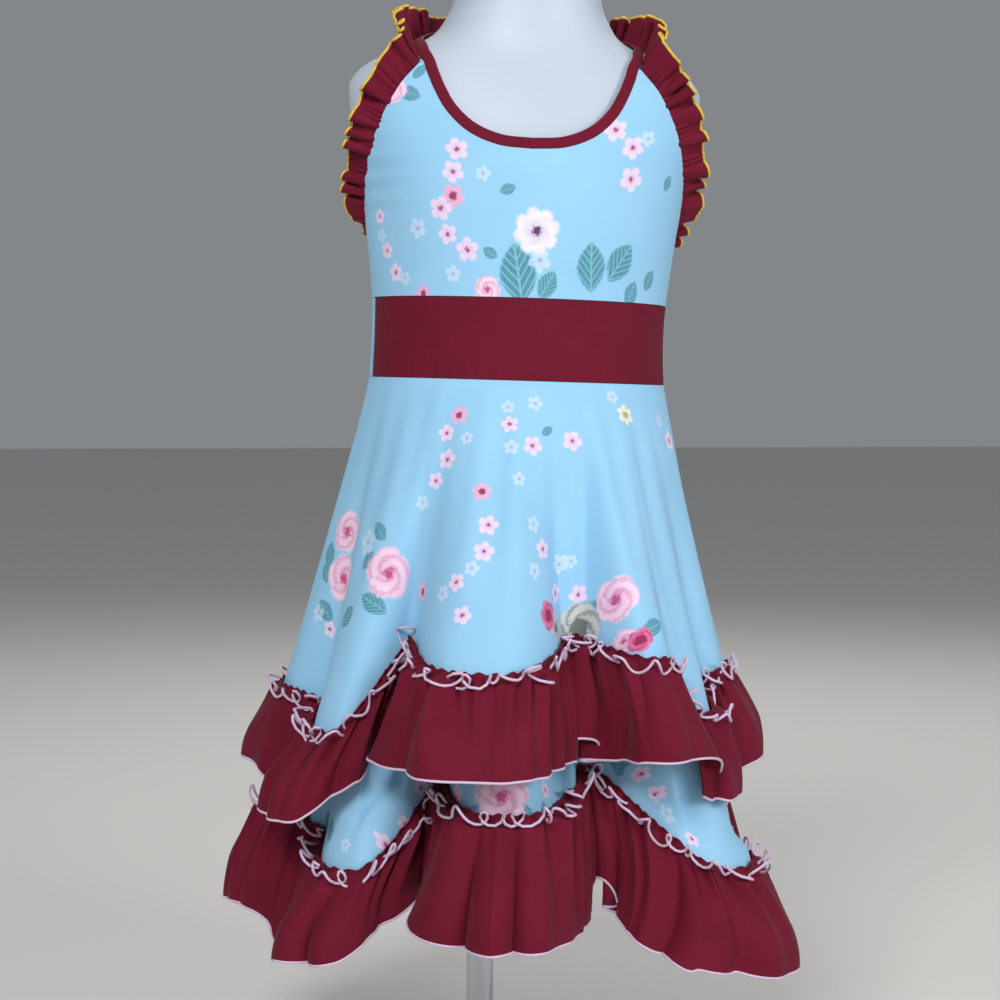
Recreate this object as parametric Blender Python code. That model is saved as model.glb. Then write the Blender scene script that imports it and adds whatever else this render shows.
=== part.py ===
"""Child's halter ruffle dress on a limbless dress form with a round stand.

Metres, +Z up, the front of the dress faces -Y and the wearer's left is at +X.
The origin is on the pole's axis, on the underside of the base.
"""
from collections import namedtuple

import bpy
import numpy as np
from mathutils import Matrix

# Cloth walls and the gaps between pieces
CLOTH = 0.0012
BAND_CLOTH = 0.0016
BINDING_CLOTH = 0.0022
SEAM_GAP = 0.0004
LAYER_GAP = 0.0005
BINDING_GAP = 0.0009
RUFFLE_GAP = 0.0010
CLOTH_STAND_OFF = 0.0045

# Heights of the main seams above the floor
WAIST_SEAM = 0.503
SASH_TOP = 0.557
BACK_TOP = 0.597
BACK_DIP = 0.010
SIDE_SEAM_DEG = 91.0
SASH_END_DEG = 79.0

# How the dress and its form stand over the pole
FORM_SHIFT = 0.026
FORM_LEAN_DEG = 1.7
FORM_BOTTOM = 0.398

# Neck binding, armhole frills, tier ruffles
BINDING_WIDTH = 0.0075
FRILL_WIDTH = 0.0185
FRILL_WAVES = 16
FRILL_WAVE_DEPTH = 0.0032
RUFFLE_WAVES = 48
RUFFLE_WAVE_DEPTH = 0.0022
HEADING_RISE = 0.007
HEADING_CURL = 0.0026

# The stand
POLE_RADIUS = 0.0095
POLE_SINK = 0.060
BORE_CLEARANCE = 0.0003
BASE_RADIUS = 0.130
BASE_THICKNESS = 0.006
BASE_EDGE_ROUND = 0.0015
HUB_RADIUS = 0.019
HUB_TOP = 0.026

Section = namedtuple("Section", "height half_width half_depth")
FORM_SECTIONS = [
    Section(FORM_BOTTOM, 0.074, 0.056),
    Section(0.403, 0.086, 0.066),
    Section(0.415, 0.096, 0.074),
    Section(0.440, 0.100, 0.078),
    Section(0.475, 0.100, 0.079),
    Section(WAIST_SEAM, 0.0985, 0.078),
    Section(0.535, 0.0975, 0.077),
    Section(0.565, 0.0985, 0.077),
    Section(0.595, 0.1020, 0.078),
    Section(0.620, 0.1060, 0.078),
    Section(0.645, 0.1110, 0.076),
    Section(0.670, 0.1180, 0.071),
    Section(0.692, 0.1215, 0.063),
    Section(0.708, 0.1200, 0.056),
    Section(0.719, 0.1080, 0.051),
    Section(0.728, 0.0860, 0.048),
    Section(0.737, 0.0680, 0.0465),
    Section(0.750, 0.0570, 0.0455),
    Section(0.770, 0.0500, 0.0445),
    Section(0.792, 0.0475, 0.0435),
    Section(0.800, 0.0440, 0.0400),
    Section(0.804, 0.0370, 0.0335),
]

# Edge of the front panel from the centre of the neckline to the side seam, wearer's left half.
# share is the column's share of the half panel, across is measured from the centre line.
EdgePoint = namedtuple("EdgePoint", "share across height")
NECKLINE = [
    EdgePoint(0.00, 0.000, 0.6560),
    EdgePoint(0.12, 0.022, 0.6580),
    EdgePoint(0.24, 0.042, 0.6665),
    EdgePoint(0.34, 0.056, 0.6800),
    EdgePoint(0.43, 0.064, 0.6940),
    EdgePoint(0.50, 0.069, 0.7060),
    EdgePoint(0.56, 0.0725, 0.7160),
]
ARMHOLE = [
    EdgePoint(0.56, 0.0727, 0.7160),
    EdgePoint(0.63, 0.081, 0.7070),
    EdgePoint(0.70, 0.090, 0.6950),
    EdgePoint(0.78, 0.0985, 0.6790),
    EdgePoint(0.86, 0.105, 0.6600),
    EdgePoint(0.93, 0.1090, 0.6390),
]
ARMHOLE_FOOT_HEIGHT = 0.599

# The neck binding beyond the strap point, round the nape
NapePoint = namedtuple("NapePoint", "turn_deg height")
NAPE = [
    NapePoint(50.0, 0.7245),
    NapePoint(64.0, 0.7295),
    NapePoint(82.0, 0.7340),
    NapePoint(104.0, 0.7385),
    NapePoint(138.0, 0.7440),
    NapePoint(180.0, 0.7465),
]

# One row for each flute of a tier: the crest, then the valley that follows it.
# Angles turn from the front towards the wearer's left; radius and drop are at the ruffle
# seam, flare and fall are the ruffle's own reach outwards and downwards.
Flute = namedtuple(
    "Flute",
    "crest_deg crest_radius crest_drop crest_flare crest_fall valley_deg valley_radius valley_drop",
)
UPPER_FLUTES = [
    Flute(-10, 0.162, 0.189, 0.028, 0.058, 11, 0.104, 0.172),
    Flute(17, 0.107, 0.170, 0.014, 0.060, 23, 0.105, 0.172),
    Flute(34, 0.158, 0.180, 0.028, 0.058, 44, 0.148, 0.196),
    Flute(53, 0.157, 0.221, 0.020, 0.050, 64, 0.138, 0.202),
    Flute(77, 0.152, 0.196, 0.020, 0.056, 97, 0.124, 0.194),
    Flute(118, 0.160, 0.200, 0.028, 0.056, 139, 0.114, 0.184),
    Flute(159, 0.162, 0.186, 0.028, 0.057, 181, 0.112, 0.180),
    Flute(202, 0.162, 0.190, 0.028, 0.056, 222, 0.118, 0.196),
    Flute(241, 0.158, 0.224, 0.024, 0.052, 259, 0.130, 0.210),
    Flute(277, 0.158, 0.216, 0.022, 0.048, 293, 0.140, 0.222),
    Flute(311, 0.164, 0.236, 0.030, 0.050, 322, 0.116, 0.175),
]
LOWER_FLUTES = [
    Flute(-4, 0.169, 0.276, 0.030, 0.074, 22, 0.104, 0.258),
    Flute(27, 0.106, 0.257, 0.014, 0.068, 32, 0.105, 0.262),
    Flute(54, 0.187, 0.320, 0.027, 0.060, 76, 0.138, 0.300),
    Flute(94, 0.152, 0.288, 0.016, 0.064, 114, 0.118, 0.276),
    Flute(133, 0.172, 0.282, 0.032, 0.072, 152, 0.110, 0.266),
    Flute(172, 0.172, 0.272, 0.032, 0.074, 192, 0.110, 0.266),
    Flute(212, 0.172, 0.288, 0.032, 0.072, 230, 0.124, 0.288),
    Flute(247, 0.174, 0.316, 0.028, 0.066, 265, 0.136, 0.302),
    Flute(282, 0.168, 0.294, 0.022, 0.064, 299, 0.142, 0.308),
    Flute(318, 0.169, 0.322, 0.030, 0.050, 333, 0.106, 0.262),
]
VALLEY_FLARE = 0.012
VALLEY_LIFT = 0.014
CREST_BREADTH = 1.6
FLUTE_GROWTH = 1.45
TIER_CLEARANCE = 0.007

# How finely each piece is divided
SKIRT_COLUMNS = 48
SEAM_STRIP_DEG = 0.8
UPPER_ROWS = 4
LOWER_ROWS = 6
PANEL_COLUMNS = 14
PANEL_ROWS = 7

Paint = namedtuple("Paint", "colour roughness metallic")
PAINTS = {
    "floral_cotton": Paint((0.42, 0.68, 0.80), 0.85, 0.0),
    "burgundy_cotton": Paint((0.20, 0.012, 0.035), 0.80, 0.0),
    "form_shell": Paint((0.74, 0.79, 0.86), 0.40, 0.0),
    "polished_steel": Paint((0.62, 0.62, 0.64), 0.15, 1.0),
}


def clear_scene():
    for old in list(bpy.data.objects):
        bpy.data.objects.remove(old)


def paint(name):
    if name in bpy.data.materials:
        return bpy.data.materials[name]
    material = bpy.data.materials.new(name)
    material.use_nodes = True
    shader = material.node_tree.nodes["Principled BSDF"]
    shader.inputs["Base Color"].default_value = (*PAINTS[name].colour, 1.0)
    shader.inputs["Roughness"].default_value = PAINTS[name].roughness
    shader.inputs["Metallic"].default_value = PAINTS[name].metallic
    return material


def smooth_curve(stations, values, wanted):
    """Catmull-Rom curve through values at the given stations, read at wanted."""
    stations = np.asarray(stations, float)
    values = np.asarray(values, float)
    slopes = np.gradient(values, stations)
    wanted = np.clip(np.asarray(wanted, float), stations[0], stations[-1])
    left = np.clip(np.searchsorted(stations, wanted, side="right") - 1, 0, len(stations) - 2)
    width = stations[left + 1] - stations[left]
    t = (wanted - stations[left]) / width
    start = (2 * t**3 - 3 * t**2 + 1) * values[left] + (t**3 - 2 * t**2 + t) * width * slopes[left]
    end = (3 * t**2 - 2 * t**3) * values[left + 1] + (t**3 - t**2) * width * slopes[left + 1]
    return start + end


def form_half_sizes(height):
    heights = [s.height for s in FORM_SECTIONS]
    return (
        smooth_curve(heights, [s.half_width for s in FORM_SECTIONS], height),
        smooth_curve(heights, [s.half_depth for s in FORM_SECTIONS], height),
    )


def on_form(turn, height, stand_off):
    """Points round the form: turn in radians from the front, stand_off out from its surface."""
    half_width, half_depth = form_half_sizes(height)
    return np.stack(
        [
            (half_width + stand_off) * np.sin(turn),
            -(half_depth + stand_off) * np.cos(turn),
            np.asarray(height) + 0 * np.asarray(turn),
        ],
        axis=-1,
    )


def form_normal(turn, height, stand_off):
    step = 1e-4
    across = on_form(turn + step, height, stand_off) - on_form(turn - step, height, stand_off)
    upward = on_form(turn, height + step, stand_off) - on_form(turn, height - step, stand_off)
    return unit(np.cross(across, upward))


def unit(vectors):
    return vectors / np.linalg.norm(vectors, axis=-1, keepdims=True)


def turn_for(across, height, stand_off):
    half_width, _ = form_half_sizes(height)
    return np.arcsin(np.clip(across / (half_width + stand_off), -1.0, 1.0))


def grid_object(name, points, material, closed=False, thickness=0.0, side=0.0):
    """A sheet from rows of points, outward normals, turned into a wall by Solidify."""
    rows, columns = points.shape[:2]
    mesh = bpy.data.meshes.new(name)
    faces = []
    for r in range(rows - 1):
        low, high = r * columns, (r + 1) * columns
        for c in range(columns if closed else columns - 1):
            following = (c + 1) % columns
            faces.append((low + c, low + following, high + following, high + c))
    mesh.from_pydata(points.reshape(-1, 3).tolist(), [], faces)
    mesh.update()
    mesh.shade_smooth()
    mesh.materials.append(paint(material))
    thing = bpy.data.objects.new(name, mesh)
    bpy.context.scene.collection.objects.link(thing)
    if thickness:
        wall = thing.modifiers.new("cloth", "SOLIDIFY")
        wall.thickness = thickness
        wall.offset = side
        wall.use_rim = True
    return thing


def settle(points):
    """Shift and lean that the form and the dress on it have over the pole."""
    lean = Matrix.Rotation(np.radians(FORM_LEAN_DEG), 3, "Y")
    pivot = np.array([0.0, 0.0, WAIST_SEAM])
    turned = (points - pivot) @ np.array(lean).T + pivot
    turned[..., 0] += FORM_SHIFT
    return turned


# Tiers: each is a flared skirt whose flutes grow from the waist to the ruffle seam


def flute_value(flutes, angle_deg, crest_values, valley_values):
    """Crest value on each crest and valley value in each valley, broad crest, narrow valley."""
    angle = np.asarray(angle_deg, float) % 360.0
    result = np.zeros_like(angle)
    count = len(flutes)
    for i, flute in enumerate(flutes):
        crest = flute.crest_deg % 360.0
        before = flutes[i - 1].valley_deg % 360.0
        for valley, value, sign in (
            (flute.valley_deg % 360.0, valley_values[i], 1.0),
            (before, valley_values[(i - 1) % count], -1.0),
        ):
            span = (sign * (valley - crest)) % 360.0
            offset = (sign * (angle - crest)) % 360.0
            inside = offset <= span
            weight = 0.5 * (1 + np.cos(np.pi * (offset[inside] / span) ** CREST_BREADTH))
            result[inside] = value + (crest_values[i] - value) * weight
    return result


def flute_column(flutes, angle_deg, crest_name, valley_name):
    return flute_value(
        flutes,
        angle_deg,
        [getattr(f, crest_name) for f in flutes],
        [getattr(f, valley_name) for f in flutes],
    )


def ruffle_reach(flutes, angle_deg):
    """Flare outwards and fall downwards of a tier's ruffle."""
    crests_flare = [f.crest_flare for f in flutes]
    crests_fall = [f.crest_fall for f in flutes]
    flare = flute_value(flutes, angle_deg, crests_flare, [VALLEY_FLARE] * len(flutes))
    fall = flute_value(flutes, angle_deg, crests_fall, [f + VALLEY_LIFT for f in crests_fall])
    return flare, fall


def waist_radius(angle_deg, stand_off):
    half_width, half_depth = form_half_sizes(WAIST_SEAM)
    a, b = half_width + stand_off, half_depth + stand_off
    turn = np.radians(angle_deg)
    return a * b / np.sqrt((b * np.sin(turn)) ** 2 + (a * np.cos(turn)) ** 2)


def tier_radius(flutes, angle_deg, share, stand_off):
    """Radius of a tier's outer surface at a share of its drop from waist to ruffle seam."""
    seam = flute_column(flutes, angle_deg, "crest_radius", "valley_radius")
    plain = np.mean([0.5 * (f.crest_radius + f.valley_radius) for f in flutes])
    waist = waist_radius(angle_deg, stand_off)
    return waist + (plain - waist) * share + (seam - plain) * share**FLUTE_GROWTH


def upper_shape_radius(angle_deg, height):
    """Radius of the whole upper tier, ruffle and all, at a height."""
    drop = flute_column(UPPER_FLUTES, angle_deg, "crest_drop", "valley_drop")
    flare, fall = ruffle_reach(UPPER_FLUTES, angle_deg)
    below_waist = WAIST_SEAM - height
    share = np.clip(below_waist / drop, 0.0, 1.0)
    ruffle_share = np.clip((below_waist - drop) / fall, 0.0, 1.2)
    return tier_radius(UPPER_FLUTES, angle_deg, share, CLOTH_STAND_OFF) + flare * ruffle_share


def lower_tier_radius(angle_deg, share, height):
    """The lower tier's own radius, held inside the upper tier where that covers it."""
    inner_stand_off = CLOTH_STAND_OFF - CLOTH - LAYER_GAP
    own = tier_radius(LOWER_FLUTES, angle_deg, share, inner_stand_off)
    drop = flute_column(UPPER_FLUTES, angle_deg, "crest_drop", "valley_drop")
    _, fall = ruffle_reach(UPPER_FLUTES, angle_deg)
    clearance = CLOTH + LAYER_GAP + TIER_CLEARANCE * np.clip(2.5 * share, 0.0, 1.0)
    cover = upper_shape_radius(angle_deg, height) - clearance
    freed = np.clip((WAIST_SEAM - drop - 1.1 * fall - height) / 0.035, 0.0, 1.0)
    return np.where(own > cover, cover + (own - cover) * freed, own)


def polar(angle_deg, radius, height):
    turn = np.radians(angle_deg)
    return np.stack([radius * np.sin(turn), -radius * np.cos(turn), height], axis=-1)


def tier_points(is_upper, angle_deg, rows):
    flutes = UPPER_FLUTES if is_upper else LOWER_FLUTES
    drop = flute_column(flutes, angle_deg, "crest_drop", "valley_drop")
    layers = []
    for share in np.linspace(0.0, 1.0, rows + 1):
        height = WAIST_SEAM - SEAM_GAP - share * (drop - SEAM_GAP)
        if is_upper:
            radius = tier_radius(flutes, angle_deg, share, CLOTH_STAND_OFF)
        else:
            radius = lower_tier_radius(angle_deg, share, height)
        layers.append(polar(angle_deg, radius, height))
    return np.array(layers)


def even_angles(is_upper, start_deg, end_deg, columns):
    """Angles that divide a tier's seam line into stretches of equal length."""
    fine = np.linspace(start_deg, end_deg, 721)
    line = tier_points(is_upper, fine, 1)[-1]
    steps = np.linalg.norm(np.diff(line, axis=0), axis=1)
    run = np.concatenate([[0.0], np.cumsum(steps)])
    return np.interp(np.linspace(0.0, run[-1], columns + 1), run, fine)


def ring_outward(ring):
    """Horizontal outward normals of a closed ring of points."""
    along = np.roll(ring, -1, axis=0) - np.roll(ring, 1, axis=0)
    outward = np.stack([along[:, 1], -along[:, 0], np.zeros(len(ring))], axis=-1)
    return unit(outward)


def with_midpoints(ring):
    doubled = np.empty((2 * len(ring), 3))
    doubled[0::2] = ring
    doubled[1::2] = 0.5 * (ring + np.roll(ring, -1, axis=0))
    return doubled


def make_tier(is_upper):
    name = "upper" if is_upper else "lower"
    rows = UPPER_ROWS if is_upper else LOWER_ROWS
    flutes = UPPER_FLUTES if is_upper else LOWER_FLUTES
    gap_deg = np.degrees(0.5 * SEAM_GAP / 0.090)
    angles = []
    for half, start in (("front", -90.0), ("back", 90.0)):
        spread = even_angles(is_upper, start, start + 180.0, SKIRT_COLUMNS)
        angles.append(spread[:-1])
        first, last = spread[0] + gap_deg, spread[-1] - gap_deg
        edge = [first, first + SEAM_STRIP_DEG], [last - SEAM_STRIP_DEG, last]
        panel = np.concatenate([edge[0], spread[1:-1], edge[1]])
        points = settle(tier_points(is_upper, panel, rows))[::-1]
        grid_object(f"{name}_skirt_{half}", points, "floral_cotton", thickness=CLOTH, side=-1.0)
    make_ruffle(name, is_upper, np.concatenate(angles), flutes, rows)


def make_ruffle(name, is_upper, ring_angles, flutes, rows):
    """Gathered strip sewn on the tier's hem, with a small heading standing above the seam."""
    tier = tier_points(is_upper, ring_angles, rows)
    seam = with_midpoints(tier[-1])
    above = with_midpoints(tier[-2])
    angles = np.degrees(np.arctan2(seam[:, 0], -seam[:, 1]))
    up_cloth = unit(above - seam)
    outward = ring_outward(seam)
    flare, fall = ruffle_reach(flutes, angles)
    wave = np.cos(2 * np.pi * RUFFLE_WAVES * np.arange(len(seam)) / len(seam))[:, None]
    off_cloth = RUFFLE_GAP + 0.5 * RUFFLE_WAVE_DEPTH * (1 + wave)
    radius = np.linalg.norm(seam[:, :2], axis=1)
    layers = [seam + up_cloth * HEADING_RISE + outward * (off_cloth + HEADING_CURL * (1 + wave) / 2)]
    layers.append(seam + outward * off_cloth)
    for share, depth in ((0.45, 1.0), (1.0, 1.3)):
        line = polar(angles, radius + flare * share, seam[:, 2] - fall * share)
        layers.append(line + outward * (RUFFLE_GAP + RUFFLE_WAVE_DEPTH * depth * (1 + wave)))
    points = settle(np.array(layers))[::-1]
    grid_object(f"{name}_ruffle", points, "burgundy_cotton", closed=True, thickness=CLOTH, side=1.0)


# Bodice, waistband, binding and frills lie on the form's surface


def front_edge():
    """Shares, turns and heights of the front panel's upper edge, from centre to side seam."""
    points = NECKLINE + ARMHOLE[1:]
    heights = np.array([p.height for p in points])
    turns = turn_for(np.array([p.across for p in points]), heights, CLOTH_STAND_OFF)
    shares = np.append([p.share for p in points], 1.0)
    turns = np.append(turns, np.radians(SIDE_SEAM_DEG))
    heights = np.append(heights, ARMHOLE_FOOT_HEIGHT)
    return shares, turns, heights


def edge_at(wanted):
    """The front panel's upper edge at wanted shares; neckline and armhole meet in a point."""
    shares, turns, heights = front_edge()
    tip = len(NECKLINE) - 1
    wanted = np.asarray(wanted, float)
    on_neck = wanted <= shares[tip]
    turn = np.where(
        on_neck,
        smooth_curve(shares[: tip + 1], turns[: tip + 1], wanted),
        smooth_curve(shares[tip:], turns[tip:], wanted),
    )
    height = np.where(
        on_neck,
        smooth_curve(shares[: tip + 1], heights[: tip + 1], wanted),
        smooth_curve(shares[tip:], heights[tip:], wanted),
    )
    return turn, height


def make_front_bodice():
    tip_share = NECKLINE[-1].share
    to_tip = np.linspace(0.0, tip_share, PANEL_COLUMNS // 2 + 1)
    to_side = np.linspace(tip_share, 1.0, PANEL_COLUMNS // 2 + 1)[1:]
    half = np.concatenate([to_tip, to_side])
    shares = np.concatenate([-half[:0:-1], half])
    top_turn, top_height = edge_at(np.abs(shares))
    top_turn = top_turn * np.sign(shares)
    foot_turn = shares * np.radians(SIDE_SEAM_DEG)
    foot_height = SASH_TOP + SEAM_GAP
    layers = []
    for rise in np.linspace(0.0, 1.0, PANEL_ROWS + 1):
        height = foot_height + (top_height - foot_height) * rise
        turn = foot_turn + (top_turn - foot_turn) * rise
        layers.append(on_form(turn, height, CLOTH_STAND_OFF))
    grid_object(
        "front_bodice", settle(np.array(layers)), "floral_cotton", thickness=CLOTH, side=-1.0
    )


def make_back_bodice():
    gap = SEAM_GAP / 0.105
    side = np.radians(SIDE_SEAM_DEG) + gap
    turn = np.linspace(side, 2 * np.pi - side, 23)
    dip = BACK_DIP * np.sin(np.pi * (turn - side) / (turn[-1] - side)) ** 2
    layers = []
    for rise in (0.0, 0.5, 1.0):
        foot = SASH_TOP + SEAM_GAP
        height = foot + (BACK_TOP - dip - foot) * rise
        layers.append(on_form(turn, height, CLOTH_STAND_OFF))
    grid_object(
        "back_bodice", settle(np.array(layers)), "floral_cotton", thickness=CLOTH, side=-1.0
    )


def make_waistbands():
    gap = SEAM_GAP / 0.100
    end = np.radians(SASH_END_DEG)
    heights = np.linspace(WAIST_SEAM, SASH_TOP, 3)[:, None]
    front = on_form(np.linspace(-end, end, 25)[None, :], heights, CLOTH_STAND_OFF)
    grid_object(
        "front_waistband", settle(front), "burgundy_cotton", thickness=BAND_CLOTH, side=-1.0
    )
    back_turns = np.linspace(end + gap, 2 * np.pi - end - gap, 29)[None, :]
    back = on_form(back_turns, heights, CLOTH_STAND_OFF)
    grid_object("back_waistband", settle(back), "floral_cotton", thickness=CLOTH, side=-1.0)


def run_along(line):
    """Length along a line of points, from its first point to each."""
    return np.concatenate([[0.0], np.cumsum(np.linalg.norm(np.diff(line, axis=0), axis=1))])


def half_neck_edge():
    """Close-set turns and heights of the neck edge, centre front to nape, and the strap point."""
    turns = [turn_for(p.across, p.height, CLOTH_STAND_OFF) for p in NECKLINE]
    turns += [np.radians(p.turn_deg) for p in NAPE]
    heights = [p.height for p in NECKLINE + NAPE]
    run = run_along(neck_points(turns, heights))
    wanted = np.linspace(0.0, run[-1], 401)
    strap_point = int(np.searchsorted(wanted, run[len(NECKLINE) - 1]))
    return smooth_curve(run, turns, wanted), smooth_curve(run, heights, wanted), strap_point


def neck_line(count):
    """Closed line of the neckline and nape: turns and heights, from the front round to +X."""
    turns, heights, _ = half_neck_edge()
    every = np.linspace(0, len(turns) - 1, count // 2 + 1)
    turn = np.interp(every, np.arange(len(turns)), turns)
    height = np.interp(every, np.arange(len(turns)), heights)
    turn = np.concatenate([turn, 2 * np.pi - turn[-2:0:-1]])
    height = np.concatenate([height, height[-2:0:-1]])
    return turn, height


def neck_points(turn, height):
    middle = CLOTH_STAND_OFF - 0.5 * CLOTH
    return on_form(np.array(turn), np.array(height), middle)


def make_neck_binding():
    turn, height = neck_line(64)
    line = neck_points(turn, height)
    along = unit(np.roll(line, -1, axis=0) - np.roll(line, 1, axis=0))
    normal = form_normal(turn, height, CLOTH_STAND_OFF)
    inward = unit(np.cross(normal, along))
    lower = line + inward * BINDING_GAP
    upper = line + inward * (BINDING_GAP + BINDING_WIDTH) + normal * 0.0006
    middle = 0.5 * (lower + upper) + normal * 0.0004
    points = settle(np.array([lower, middle, upper]))
    grid_object(
        "neck_binding", points, "burgundy_cotton", closed=True, thickness=BINDING_CLOTH, side=0.0
    )


# stand is the frill's angle off the form, upright is how far it turns to stand straight up
FrillStation = namedtuple("FrillStation", "share stand_deg upright width")
FRILL_STATIONS = [
    FrillStation(0.00, 34.0, 0.0, 0.35),
    FrillStation(0.08, 34.0, 0.0, 0.85),
    FrillStation(0.20, 36.0, 0.0, 1.00),
    FrillStation(0.38, 40.0, 0.1, 1.10),
    FrillStation(0.50, 50.0, 0.5, 1.20),
    FrillStation(0.62, 60.0, 1.0, 1.25),
    FrillStation(1.00, 60.0, 1.0, 1.05),
]
UPRIGHT_LEAN_DEG = 22.0
FRILL_END_DEG = 171.0
FRILL_COLUMNS = FRILL_WAVES * 5


def frill_base():
    """Base line of the left frill, from the foot of the armhole up and round to the nape."""
    armhole_turns, armhole_heights = edge_at(np.linspace(1.0, ARMHOLE[0].share + 0.01, 80))
    neck_turns, neck_heights, strap_point = half_neck_edge()
    beyond = slice(strap_point + 6, int(np.searchsorted(neck_turns, np.radians(FRILL_END_DEG))))
    turns = np.concatenate([armhole_turns, neck_turns[beyond]])
    heights = np.concatenate([armhole_heights, neck_heights[beyond]])
    run = run_along(neck_points(turns, heights))
    share = np.linspace(0.0, 1.0, FRILL_COLUMNS + 1)
    turn = np.interp(share * run[-1], run, turns)
    height = np.interp(share * run[-1], run, heights)
    return share, turn, height


def evened(directions):
    """Directions along a line with their sudden turns spread over the neighbours."""
    for _ in range(14):
        inner = directions[:-2] + 2 * directions[1:-1] + directions[2:]
        directions = unit(np.concatenate([directions[:1], inner, directions[-1:]]))
    return directions


def make_frill(side_name, mirror):
    share, turn, height = frill_base()
    line = neck_points(turn, height)
    along = unit(np.gradient(line, axis=0))
    normal = form_normal(turn, height, CLOTH_STAND_OFF)
    away = unit(np.cross(along, normal))
    stations = [s.share for s in FRILL_STATIONS]
    stand = np.radians(smooth_curve(stations, [s.stand_deg for s in FRILL_STATIONS], share))
    upright = smooth_curve(stations, [s.upright for s in FRILL_STATIONS], share)[:, None]
    width = FRILL_WIDTH * smooth_curve(stations, [s.width for s in FRILL_STATIONS], share)
    off_form = away * np.cos(stand)[:, None] + normal * np.sin(stand)[:, None]
    lean = np.radians(UPRIGHT_LEAN_DEG)
    sideways = unit(line * np.array([1.0, 1.0, 0.0]))
    standing = sideways * np.sin(lean) + np.array([0.0, 0.0, np.cos(lean)])
    reach = evened(unit(off_form * (1 - upright) + standing * upright))
    along = evened(along)
    across = unit(np.cross(reach, along))
    wave = np.cos(2 * np.pi * FRILL_WAVES * share)[:, None]
    start = line + evened(away) * (0.0018 + 0.0034 * upright) + normal * 0.0004
    layers = []
    for part, depth in ((0.0, 0.1), (0.5, 0.6), (1.0, 1.0)):
        offset = reach * width[:, None] * part + across * wave * FRILL_WAVE_DEPTH * depth
        layers.append(start + offset)
    points = np.array(layers)
    if mirror:
        points = points * np.array([-1.0, 1.0, 1.0])
        points = points[::-1]
    grid_object(f"armhole_frill_{side_name}", settle(points), "burgundy_cotton", thickness=CLOTH)


# The form and its stand


def spin_profile(name, profile, material, steps):
    """A turned solid about the Z axis from a closed profile of radii and heights."""
    mesh = bpy.data.meshes.new(name)
    thing = bpy.data.objects.new(name, mesh)
    bpy.context.scene.collection.objects.link(thing)
    verts, faces, rings = [], [], []
    for radius, height in profile:
        if radius == 0.0:
            rings.append([len(verts)])
            verts.append((0.0, 0.0, height))
            continue
        rings.append(list(range(len(verts), len(verts) + steps)))
        for k in range(steps):
            turn = 2 * np.pi * k / steps
            verts.append((radius * np.cos(turn), radius * np.sin(turn), height))
    for low, high in zip(rings, rings[1:]):
        for k in range(steps):
            after = (k + 1) % steps
            below = low[k % len(low)], low[after % len(low)]
            above = high[after % len(high)], high[k % len(high)]
            faces.append(tuple(dict.fromkeys(below + above)))
    mesh.from_pydata(verts, [], faces)
    mesh.update()
    mesh.shade_smooth()
    mesh.set_sharp_from_angle(angle=np.radians(35.0))
    mesh.materials.append(paint(material))
    return thing


def make_stand():
    bore = POLE_RADIUS + BORE_CLEARANCE
    spin_profile(
        "stand_base",
        [
            (0.0, 0.0),
            (BASE_RADIUS - BASE_EDGE_ROUND, 0.0),
            (BASE_RADIUS, BASE_EDGE_ROUND),
            (BASE_RADIUS, BASE_THICKNESS - BASE_EDGE_ROUND),
            (BASE_RADIUS - BASE_EDGE_ROUND, BASE_THICKNESS),
            (HUB_RADIUS + 0.004, BASE_THICKNESS),
            (HUB_RADIUS, BASE_THICKNESS + 0.004),
            (HUB_RADIUS, HUB_TOP - BASE_EDGE_ROUND),
            (HUB_RADIUS - BASE_EDGE_ROUND, HUB_TOP),
            (bore, HUB_TOP),
            (bore, BASE_THICKNESS - 0.002),
            (0.0, BASE_THICKNESS - 0.002),
        ],
        "polished_steel",
        40,
    )
    pole_foot = BASE_THICKNESS - 0.002 + BORE_CLEARANCE
    pole_top = FORM_BOTTOM + POLE_SINK
    spin_profile(
        "stand_pole",
        [(0.0, pole_foot), (POLE_RADIUS, pole_foot), (POLE_RADIUS, pole_top), (0.0, pole_top)],
        "polished_steel",
        24,
    )


def make_form():
    """Smooth torso with neck and shoulder caps, bored from below for the pole."""
    columns = 32
    turn = np.linspace(0.0, 2 * np.pi, columns, endpoint=False)
    layers = [on_form(turn, s.height, 0.0) for s in FORM_SECTIONS]
    points = settle(np.array(layers))
    form = grid_object("dress_form", points, "form_shell", closed=True)
    mesh = form.data
    rows = len(FORM_SECTIONS)
    bottom = list(range(columns))[::-1]
    top = list(range((rows - 1) * columns, rows * columns))
    verts = [v.co[:] for v in mesh.vertices]
    faces = [tuple(p.vertices) for p in mesh.polygons] + [tuple(bottom), tuple(top)]
    mesh.clear_geometry()
    mesh.from_pydata(verts, [], faces)
    mesh.update()
    mesh.shade_smooth()
    mesh.set_sharp_from_angle(angle=np.radians(60.0))
    cutter = spin_profile(
        "pole_socket_cutter",
        [
            (0.0, FORM_BOTTOM - 0.03),
            (POLE_RADIUS + BORE_CLEARANCE, FORM_BOTTOM - 0.03),
            (POLE_RADIUS + BORE_CLEARANCE, FORM_BOTTOM + POLE_SINK + BORE_CLEARANCE),
            (0.0, FORM_BOTTOM + POLE_SINK + BORE_CLEARANCE),
        ],
        "form_shell",
        24,
    )
    cutter.hide_render = True
    cutter.display_type = "WIRE"
    socket = form.modifiers.new("pole_socket", "BOOLEAN")
    socket.object = cutter
    socket.operation = "DIFFERENCE"


def main():
    clear_scene()
    make_stand()
    make_form()
    make_front_bodice()
    make_back_bodice()
    make_waistbands()
    make_neck_binding()
    make_frill("left", mirror=False)
    make_frill("right", mirror=True)
    make_tier(is_upper=True)
    make_tier(is_upper=False)


main()
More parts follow.
